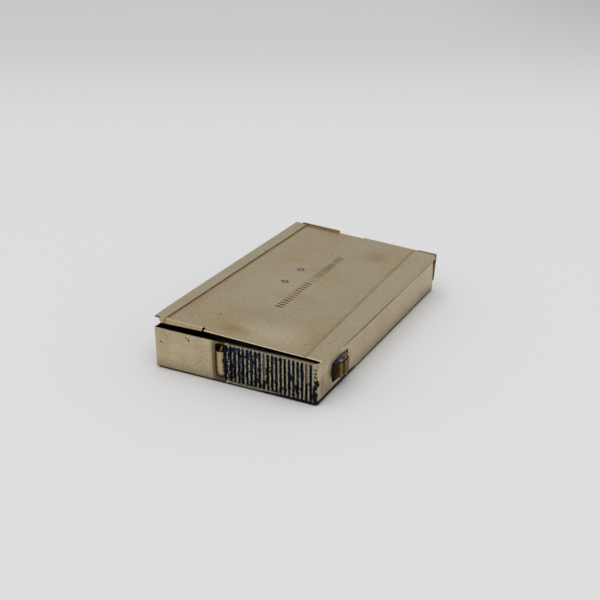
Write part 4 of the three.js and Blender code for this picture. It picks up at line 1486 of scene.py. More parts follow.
@dataclass
class CaseShell:
    """Wall band bent round the case, and the tray under it."""

    width: float = 38.0
    length: float = 65.0
    height: float = 9.3
    sheet: float = 0.4
    corner: float = 0.78
    near_corner: float = 0.5
    seat: float = 0.43
    start_x: float = -1.9875
    window_depth: float = 2.22
    window_low: float = 1.26
    window_high: float = 8.9
    window_radius: Pair = (0.9, 1.35)
    slot_y: Pair = (-25.6, -18.0)
    slot_z: Pair = (1.9, 6.44)
    slot_radii: Four = (0.5, 0.5, 1.1, 0.4)
    step_y: Pair = (-20.3, 31.1)
    step_top: float = 8.51
    dish: Four = (-26.0, 4.39, 2.7, 0.16)
    press_depth: float = 0.07
    press_fade: float = 0.35
    swell: Triple = (0.05, 0.45, 0.35)
    waves: Waves = Waves(0.035, 9.0, 1.3)
    set_in: float = 0.03
    tray_inset: float = 0.3
    rim_sheet: float = 0.3
    rim_top: float = 1.3
    rim_inset: float = 0.58
    rim_start_x: float = -5.2
    rim_end_y: float = -28.87

    def course(self, inset: float, start_x: float, end_y: float | None) -> Course:
        """The line round the case at an inset, clockwise from the front wall.

        It ends after the front right corner, or at end_y on the right wall.

        Args:
            inset: how far inside the case it runs.
            start_x: where it begins on the front wall.
            end_y: where it ends on the right wall, or None for the front.

        Returns:
            The course, in X and Y.
        """
        turn = (self.corner - inset) * math.pi / 2
        near_turn = (self.near_corner - inset) * math.pi / 2
        side, end = self.length - 2 * self.corner, self.width - 2 * self.corner
        last = side if end_y is None else self.length / 2 - self.corner - end_y
        legs = [(start_x + self.width / 2 - self.near_corner, 0.0), (near_turn, -90.0)]
        legs += [(side + self.corner - self.near_corner, 0.0), (turn, -90.0)]
        legs += [(end, 0.0), (turn, -90.0), (last, 0.0)]
        if end_y is None:
            legs.append((turn, -90.0))
        return Course.of_legs((start_x, inset - self.length / 2), 180.0, legs)

    def wall(self) -> Form:
        """The band: cut flat with its window, slot and hinge step, then bent.

        Before bending, the face sinks by a bowl beside the slot, by a press edge round the
        slot and by slow waves, and swells a little round the window.

        Returns:
            The surface.
        """
        inset = self.sheet / 2
        course = self.course(inset, self.start_x, None)
        turn = (self.corner - inset) * math.pi / 2
        near_turn = (self.near_corner - inset) * math.pi / 2
        front = self.start_x + self.width / 2 - self.near_corner
        side = front + near_turn + self.length - self.corner - self.near_corner
        right = side + 2 * turn + (self.width - 2 * self.corner)

        def on_right(y: float | Array) -> float | Array:
            """How far along the band a place on the right wall is, and the place from that."""
            return right + self.length / 2 - self.corner - y

        step_low, step_high = (on_right(y) for y in self.step_y)
        corners = [
            (0, self.seat),
            (course.length, self.seat),
            (course.length, self.height),
            (step_low, self.height),
            (step_low, self.step_top),
            (step_high, self.step_top),
            (step_high, self.height),
            (0, self.height),
            (0, self.window_high),
            (self.window_depth, self.window_high),
            (self.window_depth, self.window_low),
            (0, self.window_low),
        ]
        radii = [0.06] * 4 + [0.2, 0.2, 0.06, 0.06, 0.1, *self.window_radius, 0.1]
        slot = outlined_box(on_right(self.slot_y[1]), on_right(self.slot_y[0]), *self.slot_z, self.slot_radii)
        bends = [(front, front + near_turn), (side, side + turn)]
        bends += [(right - turn, right), (course.length - turn, course.length)]
        straight = np.arange(0.6, course.length, 1.4)
        beside_slot = np.arange(on_right(-15.5), on_right(-29.5), 0.4)
        blank = Blank(
            rounded(corners, radii),
            self.sheet,
            (slot,),
            ease=0.07,
            step=0.22,
            u_lines=np.concatenate([straight, beside_slot, *(np.linspace(*bend, 7) for bend in bends)]),
            v_lines=np.arange(self.seat + 0.5, self.height, 0.55),
        )
        bend_round = course.laid(Plane.XY)

        def place(flat: Array) -> Array:
            """Places of the bent band, pressed and waved first."""
            u, z, w = flat.T
            y = on_right(u)
            dish_y, dish_z, reach, depth = self.dish
            bowl = depth * np.clip(1 - ((y - dish_y) ** 2 + (z - dish_z) ** 2) / reach**2, 0, 1) ** 1.3
            off_y, off_z = (
                np.maximum(np.maximum(low - at, at - high), 0)
                for at, (low, high) in ((y, self.slot_y), (z, self.slot_z))
            )
            near_slot = np.abs(y + 22) < 8
            press = self.press_depth * np.exp(-np.hypot(off_y, off_z) / self.press_fade) * near_slot
            height, middle, half = self.swell
            off_u = np.maximum(u - self.window_depth, 0)
            swell = height * np.exp(-(((off_u - middle) / half) ** 2)) * (u < 5)
            waves = self.waves.at(u, 2.2 * z)
            return bend_round(np.stack([u, z, w - bowl - press + swell + waves - self.set_in], 1))

        return blank.form().bent(place)

    def tray(self) -> Form:
        """The floor plate with its upturned rim, the plate's edge waved by use.

        Returns:
            The surface.
        """
        half_x, half_y = self.width / 2 - self.tray_inset, self.length / 2 - self.tray_inset
        plate = Blank(
            outlined_box(-half_x, half_x, -half_y, half_y, self.corner),
            self.sheet,
            ease=0.1,
            step=0.4,
            u_lines=np.arange(-18, 18.5, 1.5),
            v_lines=np.arange(-31.5, 32, 1.5),
        )
        course = self.course(self.rim_inset, self.rim_start_x, self.rim_end_y)
        strip = Blank(
            outlined_box(0, course.length, self.sheet / 2, self.rim_top, 0.08),
            self.rim_sheet,
            ease=0.05,
            step=0.3,
            u_lines=np.arange(0.5, course.length, 2.0),
            v_lines=np.array([0.5, 0.9]),
        )
        return plate.flat(0, 0, self.sheet / 2) + strip.laid(course, Plane.XY)

    def build(self, shop: Workshop) -> None:
        """Lays the wall and the tray, dressed in worn nickel silver."""
        shop.lay("case_shell", self.wall(), "case", ["case_wall"], WALL)
        shop.lay("base_tray", self.tray(), "case", ["base_plate"], BASE)


@dataclass
class StrikerFront:
    """Ribbed striker, the tongue behind the window and the pin inside it."""

    front: float = -32.5
    left: float = -1.9575
    right: float = 18.19
    low: float = 0.43
    high: float = 9.25
    back: float = -31.87
    first_groove: float = -1.7575
    pitch: float = 0.9475
    groove: float = 0.6
    ribs: int = 20
    depth: float = 0.35
    flank: float = 0.13
    crest: float = 0.03
    end_ease: Pair = (0.05, 0.06)
    stray: Waves = Waves(0.035, 1.6, 0.4)
    ragged: Waves = Waves(0.12, 1.0, 2.2)
    dents: Waves = Waves(0.018, 1.0, 0.9)
    tears: tuple[Waves, Waves] = (Waves(0.2, 0.5, 1.9), Waves(0.16, 0.4, 0.7))
    leg_sheet: float = 0.2
    leg_line: Pair = (17.9, -31.97)
    leg_legs: Legs = ((0.32, 0.0), (0.25 * math.pi / 2, 90.0), (2.0, 0.0))
    tongue_sheet: float = 0.3
    tongue_top: float = 6.9
    tongue_sweep: Legs = ((-3.9075, -31.9), (-2.759, -31.9), (-1.91, -30.995))
    tongue_ends: Legs = ((-5.0075, -31.9), (-1.26, -30.095))
    tongue_waves: Waves = Waves(0.02, 0.9, 5.0)
    finger: Four = (-3.4, -2.95, 6.2, 8.05)
    finger_sheet: float = 0.2
    finger_lean: Pair = (0.34, 0.1)
    finger_pivot: float = 1.4
    finger_y: float = -31.66
    pin: Four = (-3.0825, -30.295, 0.45, 8.6)

    def _grid(self) -> tuple[Array, Array]:
        """Places in x and z, closest together on the flanks and at the ends.

        Returns:
            The two grids, one row a height.
        """
        shares = [0, 0.03, 0.06, 0.09, 0.13, 0.2, 0.4, 0.47, 0.51, 0.54, 0.57, 0.6]
        shares += [0.63, 0.67, 0.72, 0.77, 0.82, 0.88, 0.93]
        cells = self.first_groove + np.arange(self.ribs + 1)[:, None] * self.pitch + np.array(shares)
        x = np.concatenate([np.linspace(self.left, self.first_groove - 0.03, 5), cells.ravel()])
        x = np.concatenate([x[x < self.right - 0.02], [self.right]])
        ends = np.array([0.0, 0.02, 0.06, 0.12, 0.2, 0.28, 0.36, 0.46, 0.6])
        between = np.linspace(self.low + 0.75, self.high - 0.75, 60)
        z = np.concatenate([self.low + ends, between, self.high - ends[::-1]])
        return np.meshgrid(x, z)

    def _relief(self, x: Array, z: Array) -> Array:
        """How far back the face stands.

        A groove sinks by its depth times a smooth step over each flank, and fades out just
        short of the top and foot. The line of each rib strays a little with height, and
        the crests are slightly crowned, by a parabola, and dented.

        Args:
            x, z: the grid of places.

        Returns:
            The place in Y at each.
        """
        stray = self.stray.at(np.round((x - self.first_groove) / self.pitch) * 3.7, z)
        phase = np.mod(x - self.first_groove + stray, self.pitch)
        sunk = smooth_step(phase, 0, self.flank)
        sunk = sunk * (1 - smooth_step(phase, self.groove - self.flank, self.groove))
        beyond = smooth_step(x, self.first_groove - 0.02, self.first_groove + 0.02)
        sunk = sunk * beyond + smooth_step(self.flank + self.first_groove - x, 0, 0.2) * (1 - beyond)
        last = self.first_groove + self.ribs * self.pitch + self.groove
        sunk = sunk * (x < last + 0.02)
        ragged = self.ragged.at(x * 4.1)
        open_foot = smooth_step(z, self.low + 0.16 + ragged, self.low + 0.5 + ragged)
        open_top = 1 - smooth_step(z, self.high - 0.42 + ragged, self.high - 0.16 + ragged)
        drop, over = self.end_ease
        off_ends = [1 - np.clip(off / over, 0, 1) for off in (z - self.low, self.high - z)]
        ease = sum(drop * (1 - np.sqrt(np.clip(1 - off**2, 0, 1))) for off in off_ends)
        dents = 0.02 + self.dents.at(x * 5.3, z * 2.1)
        middle = (self.pitch - self.groove) / 2
        crown = self.crest * ((phase - self.groove - middle) / 0.23) ** 2 * (phase > self.groove)
        return self.front + self.depth * sunk * open_foot * open_top + ease + dents + np.clip(crown, 0, 0.05)

    def face(self) -> Form:
        """The ribbed plate as a function of x and z, its left edge torn.

        Returns:
            The surface.
        """
        x, z = self._grid()
        rows, columns = x.shape
        wide, narrow = self.tears
        tatter = 0.28 + wide.at(z * 2.3) + narrow.at(z * 5.1)
        tatter = tatter * smooth_step(z, 0.9, 1.5) * (1 - smooth_step(z, 8.1, 8.7))
        torn = x - np.clip(tatter, 0, 0.6) * np.clip(1 - (x - self.left) / 0.7, 0, 1) ** 1.5
        y = self._relief(x, z) + 0.12 * smooth_step(x - torn, 0.1, 0.5)
        back = self.back - 0.2 * smooth_step(x - torn, 0.02, 0.2)
        rings = np.concatenate([np.stack([torn, y, z], -1), np.stack([torn, back, z], -1)[:, ::-1]], 1)
        count = 2 * columns
        near = np.arange(columns - 1)
        cap = np.stack([near, near + 1, count - 2 - near, count - 1 - near], 1)
        faces = np.vstack([mesh_quads(rows, count, False, True), cap[:, ::-1], cap + (rows - 1) * count])
        return Form.plain(rings.reshape(-1, 3), faces)

    def leg(self) -> Form:
        """The plate's turned end, tucked inside the front right corner.

        Returns:
            The surface.
        """
        course = Course.of_legs(self.leg_line, 0.0, self.leg_legs)
        blank = Blank(
            outlined_box(0, course.length, self.low + 0.03, self.high - 0.05, 0.2),
            self.leg_sheet,
            ease=0.04,
            step=0.12,
            u_lines=np.linspace(0.3, 0.75, 8),
            v_lines=np.arange(1, 9, 1.0),
        )
        return blank.laid(course, Plane.XY)

    def tongue(self) -> Form:
        """The plate in the window: straight behind the wall, then swept back in a parabola.

        Returns:
            The surface.
        """
        sweep = blended(np.array(self.tongue_sweep), 40)
        lead = np.linspace(self.tongue_ends[0], sweep[0], 12)[:-1]
        tail = np.linspace(sweep[-1], self.tongue_ends[1], 12)[1:]
        course = Course.through(np.vstack([lead, sweep, tail]))
        blank = Blank(
            outlined_box(0, course.length, self.low, self.tongue_top, [0.2, 0.2, 0.5, 0.5]),
            self.tongue_sheet,
            step=0.15,
            u_lines=np.arange(0.2, course.length, 0.25),
            v_lines=np.arange(0.8, 6.8, 0.5),
        )
        bend = course.laid(Plane.XY)

        def place(flat: Array) -> Array:
            """Places of the bent plate, made a little uneven first."""
            u, v, w = flat.T
            return bend(np.stack([u, v, w + self.tongue_waves.at(u, v)], 1))

        return blank.form().bent(place)

    def leaning_finger(self) -> Form:
        """The brass finger over the tongue, which leans to the right and back.

        Returns:
            The surface.
        """
        left, right, low, high = self.finger
        blank = Blank(outlined_box(left, right, low, high, 0.25), self.finger_sheet, step=0.12)

        def place(flat: Array) -> Array:
            """Places of the finger stood up in the window."""
            x, z, y = flat.T
            up = z - low
            aside, back = self.finger_lean
            return np.stack([x + aside * (up - self.finger_pivot), self.finger_y + y + back * up, z], 1)

        return blank.form().bent(place)

    def build(self, shop: Workshop) -> None:
        """Lays the striker, the tongue, the finger and the pin.

        Args:
            shop: what lays the pieces.
        """
        shop.lay("striker_face", self.face() + self.leg(), "case", ["striker_plate"], STRIKING)
        shop.lay("window_plate", self.tongue(), "case", ["window_tongue"], TONGUE)
        shop.lay("window_finger", self.leaning_finger(), "case", ["guide_pin"], BRASS_FINGER)
        x, y, radius, top = self.pin
        pin = turned(eased(stepped(self.low, [(radius, top)]), 0.12), x, y, 32)
        shop.lay("window_pin", pin, "case", ["guide_pin"], BRASS_PIN)


@dataclass
class TapeChannel:
    """Wall of the channel that leads the tape behind the striker, riveted to the tray."""

    seat: float = 0.43
    top: float = 7.2
    sheet: float = 0.35
    start: Pair = (-1.01, -30.095)
    run: float = 7.61
    bend: float = 3.0
    rise: float = 2.4
    feet: tuple[tuple[float, float, float, float, float, float], ...] = (
        (0.49, 3.29, -30.0, -27.495, 1.89, -28.495),
        (7.0, 9.55, -27.095, -24.695, 8.0, -25.895),
    )
    hole: float = 0.52
    rivet: Triple = (0.45, 0.8, 0.35)
    under_head: float = 0.03

    def guide(self) -> Form:
        """The bent wall and its two feet.

        Returns:
            The surface.
        """
        legs = [(self.run, 0.0), (self.bend * math.pi / 2, 90.0), (self.rise, 0.0)]
        course = Course.of_legs(self.start, 0.0, legs)
        blank = Blank(
            outlined_box(0, course.length, self.seat, self.top, [0.1, 0.1, 0.6, 0.6]),
            self.sheet,
            ease=0.07,
            step=0.25,
            u_lines=np.arange(0.4, course.length, 0.5),
            v_lines=np.arange(1, 7, 1.0),
        )
        whole = blank.laid(course, Plane.XY)
        for *sides, x, y in self.feet:
            hole = circle(self.hole, 32, x, y)
            foot = Blank(outlined_box(*sides, 0.5), self.sheet, (hole,), step=0.2)
            whole = whole + foot.flat(0, 0, self.seat + self.sheet / 2)
        return whole

    def build(self, shop: Workshop) -> None:
        """Lays the channel wall and its rivets, whose heads are quarter ellipses.

        Args:
            shop: what lays the pieces.
        """
        shop.lay("channel_wall", self.guide(), "case", ["tape_guide"], INNER)
        shank, head, dome = self.rivet
        under = self.seat + self.sheet + self.under_head
        angle = np.linspace(0, math.pi / 2, 9)
        cap = np.stack([head * np.cos(angle), under + dome * np.sin(angle)], 1)
        cap[-1, 0] = 0.0
        profile = np.vstack([[(0, self.seat), (shank, self.seat), (shank, under), (head - 0.02, under)], cap])
        for side, (*_, x, y) in zip(("left", "right"), self.feet):
            rivet = turned(profile, x, y, 32)
            shop.lay(f"channel_rivet_{side}", rivet, "case", [f"guide_rivet_{side}"], BRASS_CLEAN)


@dataclass
class FeedWheel:
    """Toothed thumbwheel with its disc, axle, collar, bridge and leaf spring."""

    x: float = 15.8
    y: float = -21.8
    seat: float = 0.43
    teeth: int = 16
    tip: float = 4.6
    root: float = 4.15
    wheel_low: float = 2.5
    wheel_high: float = 5.8
    bore: float = 0.97
    disc_radius: float = 4.2
    disc_low: float = 5.83
    disc_high: float = 6.28
    boss_radius: float = 1.8
    boss_high: float = 6.78
    axle_radius: float = 0.9
    axle_head: float = 1.35
    bridge_top: float = 7.65
    bridge_sheet: float = 0.5
    bridge_half: float = 1.9
    bridge_reach: float = 5.9
    bridge_foot: float = 2.4
    bridge_bend: float = 0.5
    screw_from_wheel: float = 7.225
    screw: Four = (0.5, 0.95, 0.55, 0.25)
    under_head: float = 0.03
    collar: Triple = (0.95, 1.7, 2.43)
    post: Pair = (8.3, -11.5)
    post_steps: Legs = ((1.1, 1.77), (0.8, 7.4))
    spring_sheet: float = 0.25
    spring_gap: float = 0.07
    spring_z: Pair = (1.8, 6.5)
    spring_x: float = 10.775
    spring_bow: Pair = (3.4, 4.0)
    spring_toe: Legs = ((0.0, 1.0), (0.6, 2.0))

    def wheel(self) -> Form:
        """The wheel: a blank with trapezoid teeth, as thick as the wheel, its corners worn.

        Returns:
            The surface.
        """
        step = 2 * math.pi / self.teeth
        shares = np.array([-0.36, -0.17, 0.17, 0.36])
        angle = ((np.arange(self.teeth)[:, None] + shares[None]) * step).ravel()
        radius = np.tile([self.root, self.tip, self.tip, self.root], self.teeth)
        height = self.wheel_high - self.wheel_low
        lines = np.linspace(-4, 4, 11)
        blank = Blank(
            rounded(arc(radius, angle), 0.16, 6),
            height,
            (circle(self.bore, 48),),
            ease=0.16,
            step=0.2,
            u_lines=lines,
            v_lines=lines,
        )
        return blank.flat(self.x, self.y, self.wheel_low + height / 2)

    def bridge(self) -> Form:
        """The strap over the wheel, bent up from its feet, with holes for axle and screws.

        Returns:
            The surface.
        """
        bend, quarter = self.bridge_bend, self.bridge_bend * math.pi / 2
        half = self.bridge_sheet / 2
        rise = self.bridge_top - half - (self.seat + half) - 2 * bend
        foot, span = self.bridge_foot - bend, 2 * (self.bridge_reach - bend)
        legs = [(foot, 0.0), (quarter, 90.0), (rise, 0.0), (quarter, -90.0), (span, 0.0)]
        legs += [(quarter, -90.0), (rise, 0.0), (quarter, 90.0), (foot, 0.0)]
        start = (self.y - self.bridge_reach - self.bridge_foot, self.seat + half)
        course = Course.of_legs(start, 0.0, legs)
        screw_u = self.y - self.screw_from_wheel - start[0]
        holes = [circle(0.95, 40, course.length / 2, 0)]
        holes += [circle(0.55, 32, u, 0) for u in (screw_u, course.length - screw_u)]
        bends = np.cumsum([0] + [length for length, _ in legs])
        lines = np.concatenate([np.linspace(bends[i], bends[i + 1], 8) for i in (1, 3, 5, 7)])
        blank = Blank(
            outlined_box(0, course.length, -self.bridge_half, self.bridge_half, 0.7),
            self.bridge_sheet,
            holes,
            ease=0.1,
            step=0.16,
            u_lines=np.concatenate([lines, np.arange(0.5, course.length, 0.9)]),
            v_lines=np.linspace(-1.6, 1.6, 7),
        )
        return blank.laid(course, Plane.YZ).bent(lambda places: places + np.array([self.x, 0, 0]))

    def slotted_screw(self, y: float) -> Form:
        """A cheese-head screw: shank and lower head turned, and two half-moons beside the slot.

        Args:
            y: where it stands along the strap.

        Returns:
            Its surface.
        """
        shank, head, height, slot = self.screw
        under = self.seat + self.bridge_sheet + self.under_head
        floor = under + 0.45 * height
        whole = turned(eased(stepped(self.seat, [(shank, under), (head, floor)]), 0.05), self.x, y, 40)
        edge = math.asin((slot / 2) / head)
        moon = arc(head, np.linspace(edge, math.pi - edge, 30))
        raise_by = under + height - floor
        for side in (1, -1):
            half = Blank(moon * side, raise_by + 0.02, step=0.12)
            whole = whole + half.flat(self.x, y, floor + raise_by / 2 - 0.01)
        return whole

    def spring(self) -> Form:
        """The leaf spring: an eye round the post, a bow to the wheel and a turned-out toe.

        The eye is an arc, the blade a cubic and the toe a quadratic curve, end to end.

        Returns:
            The surface.
        """
        eye = self.post_steps[-1][0] + self.spring_gap + self.spring_sheet / 2
        ring = arc(eye, np.radians(np.linspace(300, 0, 80)), *self.post)
        from_post, to_wheel = self.spring_bow
        end = np.array([self.spring_x, self.y])
        bow = [ring[-1] - np.array([0, from_post]), np.array([self.spring_x, self.y + to_wheel])]
        blade = blended([ring[-1], *bow, end], 60)
        toe = blended([end] + [end - np.array(off) for off in self.spring_toe], 60)
        course = Course.through(np.vstack([ring, blade[1:], toe[1:]]))
        low, high = self.spring_z
        blank = Blank(
            outlined_box(0, course.length, low, high, 0.5),
            self.spring_sheet,
            ease=0.05,
            step=0.2,
            u_lines=np.arange(0.3, course.length, 0.3),
            v_lines=np.linspace(low + 0.6, high - 0.6, 5),
        )
        return blank.laid(course, Plane.XY)

    def build(self, shop: Workshop) -> None:
        """Lays the wheel and everything that carries it or presses on it.

        Args:
            shop: what lays the pieces.
        """
        shop.lay("feed_wheel", self.wheel(), "thumbwheel", ["thumbwheel"], BRASS, 30)
        plate = [(self.disc_radius, self.disc_high), (self.boss_radius, self.boss_high)]
        plate = eased(stepped(self.disc_low, plate, self.bore), 0.1)
        shop.lay("feed_plate", turned(plate, self.x, self.y, 96), "thumbwheel", ["feed_disc"], STEEL)
        under = self.bridge_top + self.under_head
        rod = stepped(self.seat, [(self.axle_radius, under), (self.axle_head, under)])[:-2]
        rod += [(self.axle_head * 0.97, under + 0.22), (0, under + 0.4)]
        shop.lay("wheel_rod", turned(eased(rod, 0.12), self.x, self.y), "case", ["wheel_axle"], STEEL)
        inner, outer, top = self.collar
        ring = turned(eased(stepped(self.seat, [(outer, top)], inner), 0.08), self.x, self.y)
        shop.lay("wheel_ring", ring, "case", ["wheel_collar"], BRASS_CLEAN)
        shop.lay("wheel_strap", self.bridge(), "case", ["wheel_bridge"], INNER)
        for end, side in (("front", -1), ("rear", 1)):
            screw = self.slotted_screw(self.y + side * self.screw_from_wheel)
            shop.lay(f"strap_screw_{end}", screw, "case", [f"bridge_screw_{end}"], STEEL)
        stem = turned(eased(stepped(self.seat, self.post_steps), 0.1), *self.post, 48)
        shop.lay("spring_stem", stem, "case", ["spring_post"], BRASS_CLEAN)
        shop.lay("leaf_spring", self.spring(), "case", ["pressure_spring"], SPRING_STEEL)


@dataclass
class TapeSpool:
    """Spool for the tape: flange and slit hub on a post with a snap clip."""

    x: float = -3.0
    y: float = 7.0
    seat: float = 0.43
    bore: float = 1.57
    flange_radius: float = 13.5
    flange_z: Pair = (1.0, 1.4)
    hub_radius: float = 4.5
    hub_z: Pair = (1.43, 7.9)
    slit: Triple = (2.9, 0.35, 2.03)
    post: Triple = (1.5, 2.6, 8.7)
    post_foot: float = 0.93
    groove: Triple = (1.2, 7.97, 8.31)
    clip: Four = (1.23, 2.4, 8.0, 8.28)
    clip_mouth: float = 0.95
    pressed_ring: Triple = (0.05, 11.6, 0.5)

    def flange(self) -> Form:
        """The flange, with a low pressed ring near its edge: a bell curve of the radius.

        Returns:
            The surface.
        """
        low, high = self.flange_z
        radius = np.linspace(self.bore, self.flange_radius - 0.06, 90)
        height, middle, half = self.pressed_ring
        ring = height * np.exp(-(((radius - middle) / half) ** 2))
        under = np.stack([radius, low + ring], 1)
        over = np.stack([radius, high - 0.06 + ring], 1)[::-1]
        edge = [(self.flange_radius, low + 0.07), (self.flange_radius, high - 0.12)]
        return turned(np.vstack([under, edge, over]), self.x, self.y, 128)

    def hub(self) -> Form:
        """The hub: a turned foot and a slit drum above it.

        Returns:
            The surface.
        """
        low, high = self.hub_z
        depth, half, floor = self.slit
        foot = eased(stepped(low, [(self.hub_radius, floor)], self.bore), 0.05)
        edge = math.asin(half / self.hub_radius)
        drum = arc(self.hub_radius, np.linspace(edge, 2 * math.pi - edge, 110))
        outline = np.vstack([drum, [(depth, -half), (depth, half)]])
        upper = Blank(outline, high - floor, (circle(self.bore, 48),), ease=0.12, step=0.3)
        return turned(foot, self.x, self.y, 96) + upper.flat(self.x, self.y, (high + floor) / 2)

    def snap_clip(self) -> Form:
        """The clip: a ring open towards the front.

        Returns:
            The surface.
        """
        inner, outer, low, high = self.clip
        wide, narrow = (math.asin(self.clip_mouth / radius) for radius in (outer, inner))
        outside = np.linspace(wide, 2 * math.pi - wide, 60) - math.pi / 2
        within = np.linspace(2 * math.pi - narrow, narrow, 40) - math.pi / 2
        loop = np.vstack([arc(outer, outside), arc(inner, within)])
        blank = Blank(rounded(loop, 0.05, 3), high - low, ease=0.05, step=0.2)
        return blank.flat(self.x, self.y, (low + high) / 2)

    def build(self, shop: Workshop) -> None:
        """Lays the flange and hub on the spool, and the post and clip on the case.

        Args:
            shop: what lays the pieces.
        """
        shop.lay("spool_plate", self.flange(), "spool", ["spool_flange"], INNER)
        shop.lay("spool_drum", self.hub(), "spool", ["spool_hub"], INNER)
        radius, foot, top = self.post
        neck, low, high = self.groove
        stem = stepped(self.seat, [(foot, self.post_foot), (radius, low), (neck, high)])[:-1]
        stem += [(radius, high), (radius * 0.9, top), (0, top)]
        shop.lay("spool_stem", turned(eased(stem, 0.06), self.x, self.y), "case", ["spool_post"], BRASS_CLEAN)
        shop.lay("spool_ring", self.snap_clip(), "case", ["spool_clip"], SPRING_STEEL)


@dataclass
class Lid:
    """Cover panel, two rails and the flange behind, worked out shut and tipped open."""

    axis_x: float = 19.05
    axis_z: float = 9.06
    tilt: float = 3.4
    sheet: float = 0.25
    panel_z: float = 9.455
    rail_z: float = 9.735
    panel_x: Pair = (-18.3, 17.4)
    panel_front: Pair = (-32.4, -31.35)
    panel_bend: float = 0.24
    tab_y: float = -32.745
    tab_low: float = 8.44
    tab_slope: float = 0.28
    tab_x: Pair = (-17.2, -7.0)
    tab_rise: Pair = (0.3, 0.8)
    bead_end: float = 32.3
    slit: float = 0.12
    slit_end: float = -31.2
    lip_x: Pair = (-17.1, -6.4)
    lip_y: float = 32.075
    lip_top: float = 10.08
    notch: Pair = (14.7, 29.4)
    field_waves: Waves = Waves(0.06, 7.5, 0.6)
    left_x: Pair = (-16.18, -15.78)
    left_y: Pair = (-32.47, 31.85)
    left_outer: float = -19.08
    left_bend: float = 0.48
    left_drawn: Pair = (0.34, 4.5)
    left_stray: Waves = Waves(0.05, 5.0, 1.1)
    left_dip: Waves = Waves(0.02, 6.0, 3.0)
    right_x: Pair = (16.12, 14.42)
    right_y: Pair = (-31.7, 31.0)
    right_roll: float = 0.8
    right_lift: Waves = Waves(0.05, 6.5, 2.0)
    right_stray: Waves = Waves(0.06, 8.0, 4.0)
    flange_x: Pair = (-0.1, 19.4)
    flange_y: float = 32.745
    flange_low: float = 2.1
    flange_bend: float = 0.25
    flange_arm: float = 7.2
    flange_shelf: Four = (14.8, 17.4, 29.5, 31.1)

    def tipped(self, places: Array) -> Array:
        """The shut lid's places turned about the hinge line to where it stands at rest.

        Args:
            places: one a row.

        Returns:
            The turned places.
        """
        angle = math.radians(self.tilt)
        dx, dz = places[:, 0] - self.axis_x, places[:, 2] - self.axis_z
        x = self.axis_x + dx * math.cos(angle) + dz * math.sin(angle)
        z = self.axis_z - dx * math.sin(angle) + dz * math.cos(angle)
        return np.stack([x, places[:, 1], z], 1)

    def panel(self) -> Form:
        """The panel with its front catch and back lip.

        The blank is cut with a slit at either end of the catch, bent down at the front and
        up at the back. Between the slits the front edge swells into a bead, by a smooth
        step towards the edge, and the field between the rails waves a little.

        Returns:
            The surface.
        """
        quarter = self.panel_bend * math.pi / 2
        drop = self.panel_z - self.panel_bend - self.tab_low
        flat_from = drop + quarter
        origin = self.tab_y + self.panel_bend
        field_run = self.lip_y - self.panel_bend - origin
        rise = self.lip_top - self.panel_z - self.panel_bend
        legs = [(drop, 0.0), (quarter, -90.0), (field_run, 0.0), (quarter, 90.0), (rise, 0.0)]
        course = Course.of_legs((self.tab_y, self.tab_low), 90.0, legs)
        left, right = self.panel_x
        tab_left, tab_right = self.tab_x
        back, end = flat_from + field_run - 0.03, course.length
        slit, front_left, front_right, notch = (
            y - origin + flat_from for y in (self.slit_end, *self.panel_front, self.notch[1])
        )
        corners = [
            (front_left, left),
            (back, left),
            (back, self.lip_x[0]),
            (end, self.lip_x[0]),
            (end, self.lip_x[1]),
            (back, self.lip_x[1]),
            (back, self.notch[0]),
            (notch, self.notch[0]),
            (notch, right),
            (front_right, right),
            (front_left, tab_right + self.slit),
            (slit, tab_right + self.slit),
            (slit, tab_right),
            (self.tab_slope, tab_right),
            (0, tab_left),
            (slit, tab_left),
            (slit, tab_left - self.slit),
            (front_left, tab_left - self.slit),
        ]
        radii = [0.3, 0.2, 0.1, 0.3, 0.3, 0.1, 0.2, 0.1, 0.1, 0.3, *[0.05] * 3, 0.18, 0.7, *[0.05] * 3]
        u_lines = [np.linspace(0.1, 2.6, 22), np.arange(3.2, back - 1, 1.3), np.linspace(back - 0.8, end, 10)]
        v_lines = [np.arange(left + 0.5, right, 1.2), np.linspace(tab_left + 0.3, tab_right - 0.3, 14)]
        blank = Blank(
            rounded(corners, radii),
            self.sheet,
            ease=0.05,
            step=0.3,
            u_lines=np.concatenate(u_lines),
            v_lines=np.concatenate(v_lines),
        )
        bend = course.laid(Plane.YZ)

        def place(flat: Array) -> Array:
            """Places of the bent panel with its bead and waves, tipped."""
            x, y, z = bend(flat).T
            share = np.clip((x - tab_left) / (tab_right - tab_left), 0, 1)
            in_tab = (x > tab_left - self.slit / 2) & (x < tab_right + self.slit / 2)
            bead = (self.tab_rise[0] + (self.tab_rise[1] - self.tab_rise[0]) * share) * in_tab
            bead = bead * smooth_step(-y, -self.slit_end, self.bead_end)
            between = smooth_step(x, -15.4, -12.5) * (1 - smooth_step(x, 11.0, 14.0))
            between = between * (1 - smooth_step(np.abs(y), 27, 32))
            waves = self.field_waves.at(x, y * 0.6) * between
            return self.tipped(np.stack([x, y, z + bead + waves], 1))

        return blank.form().bent(place)

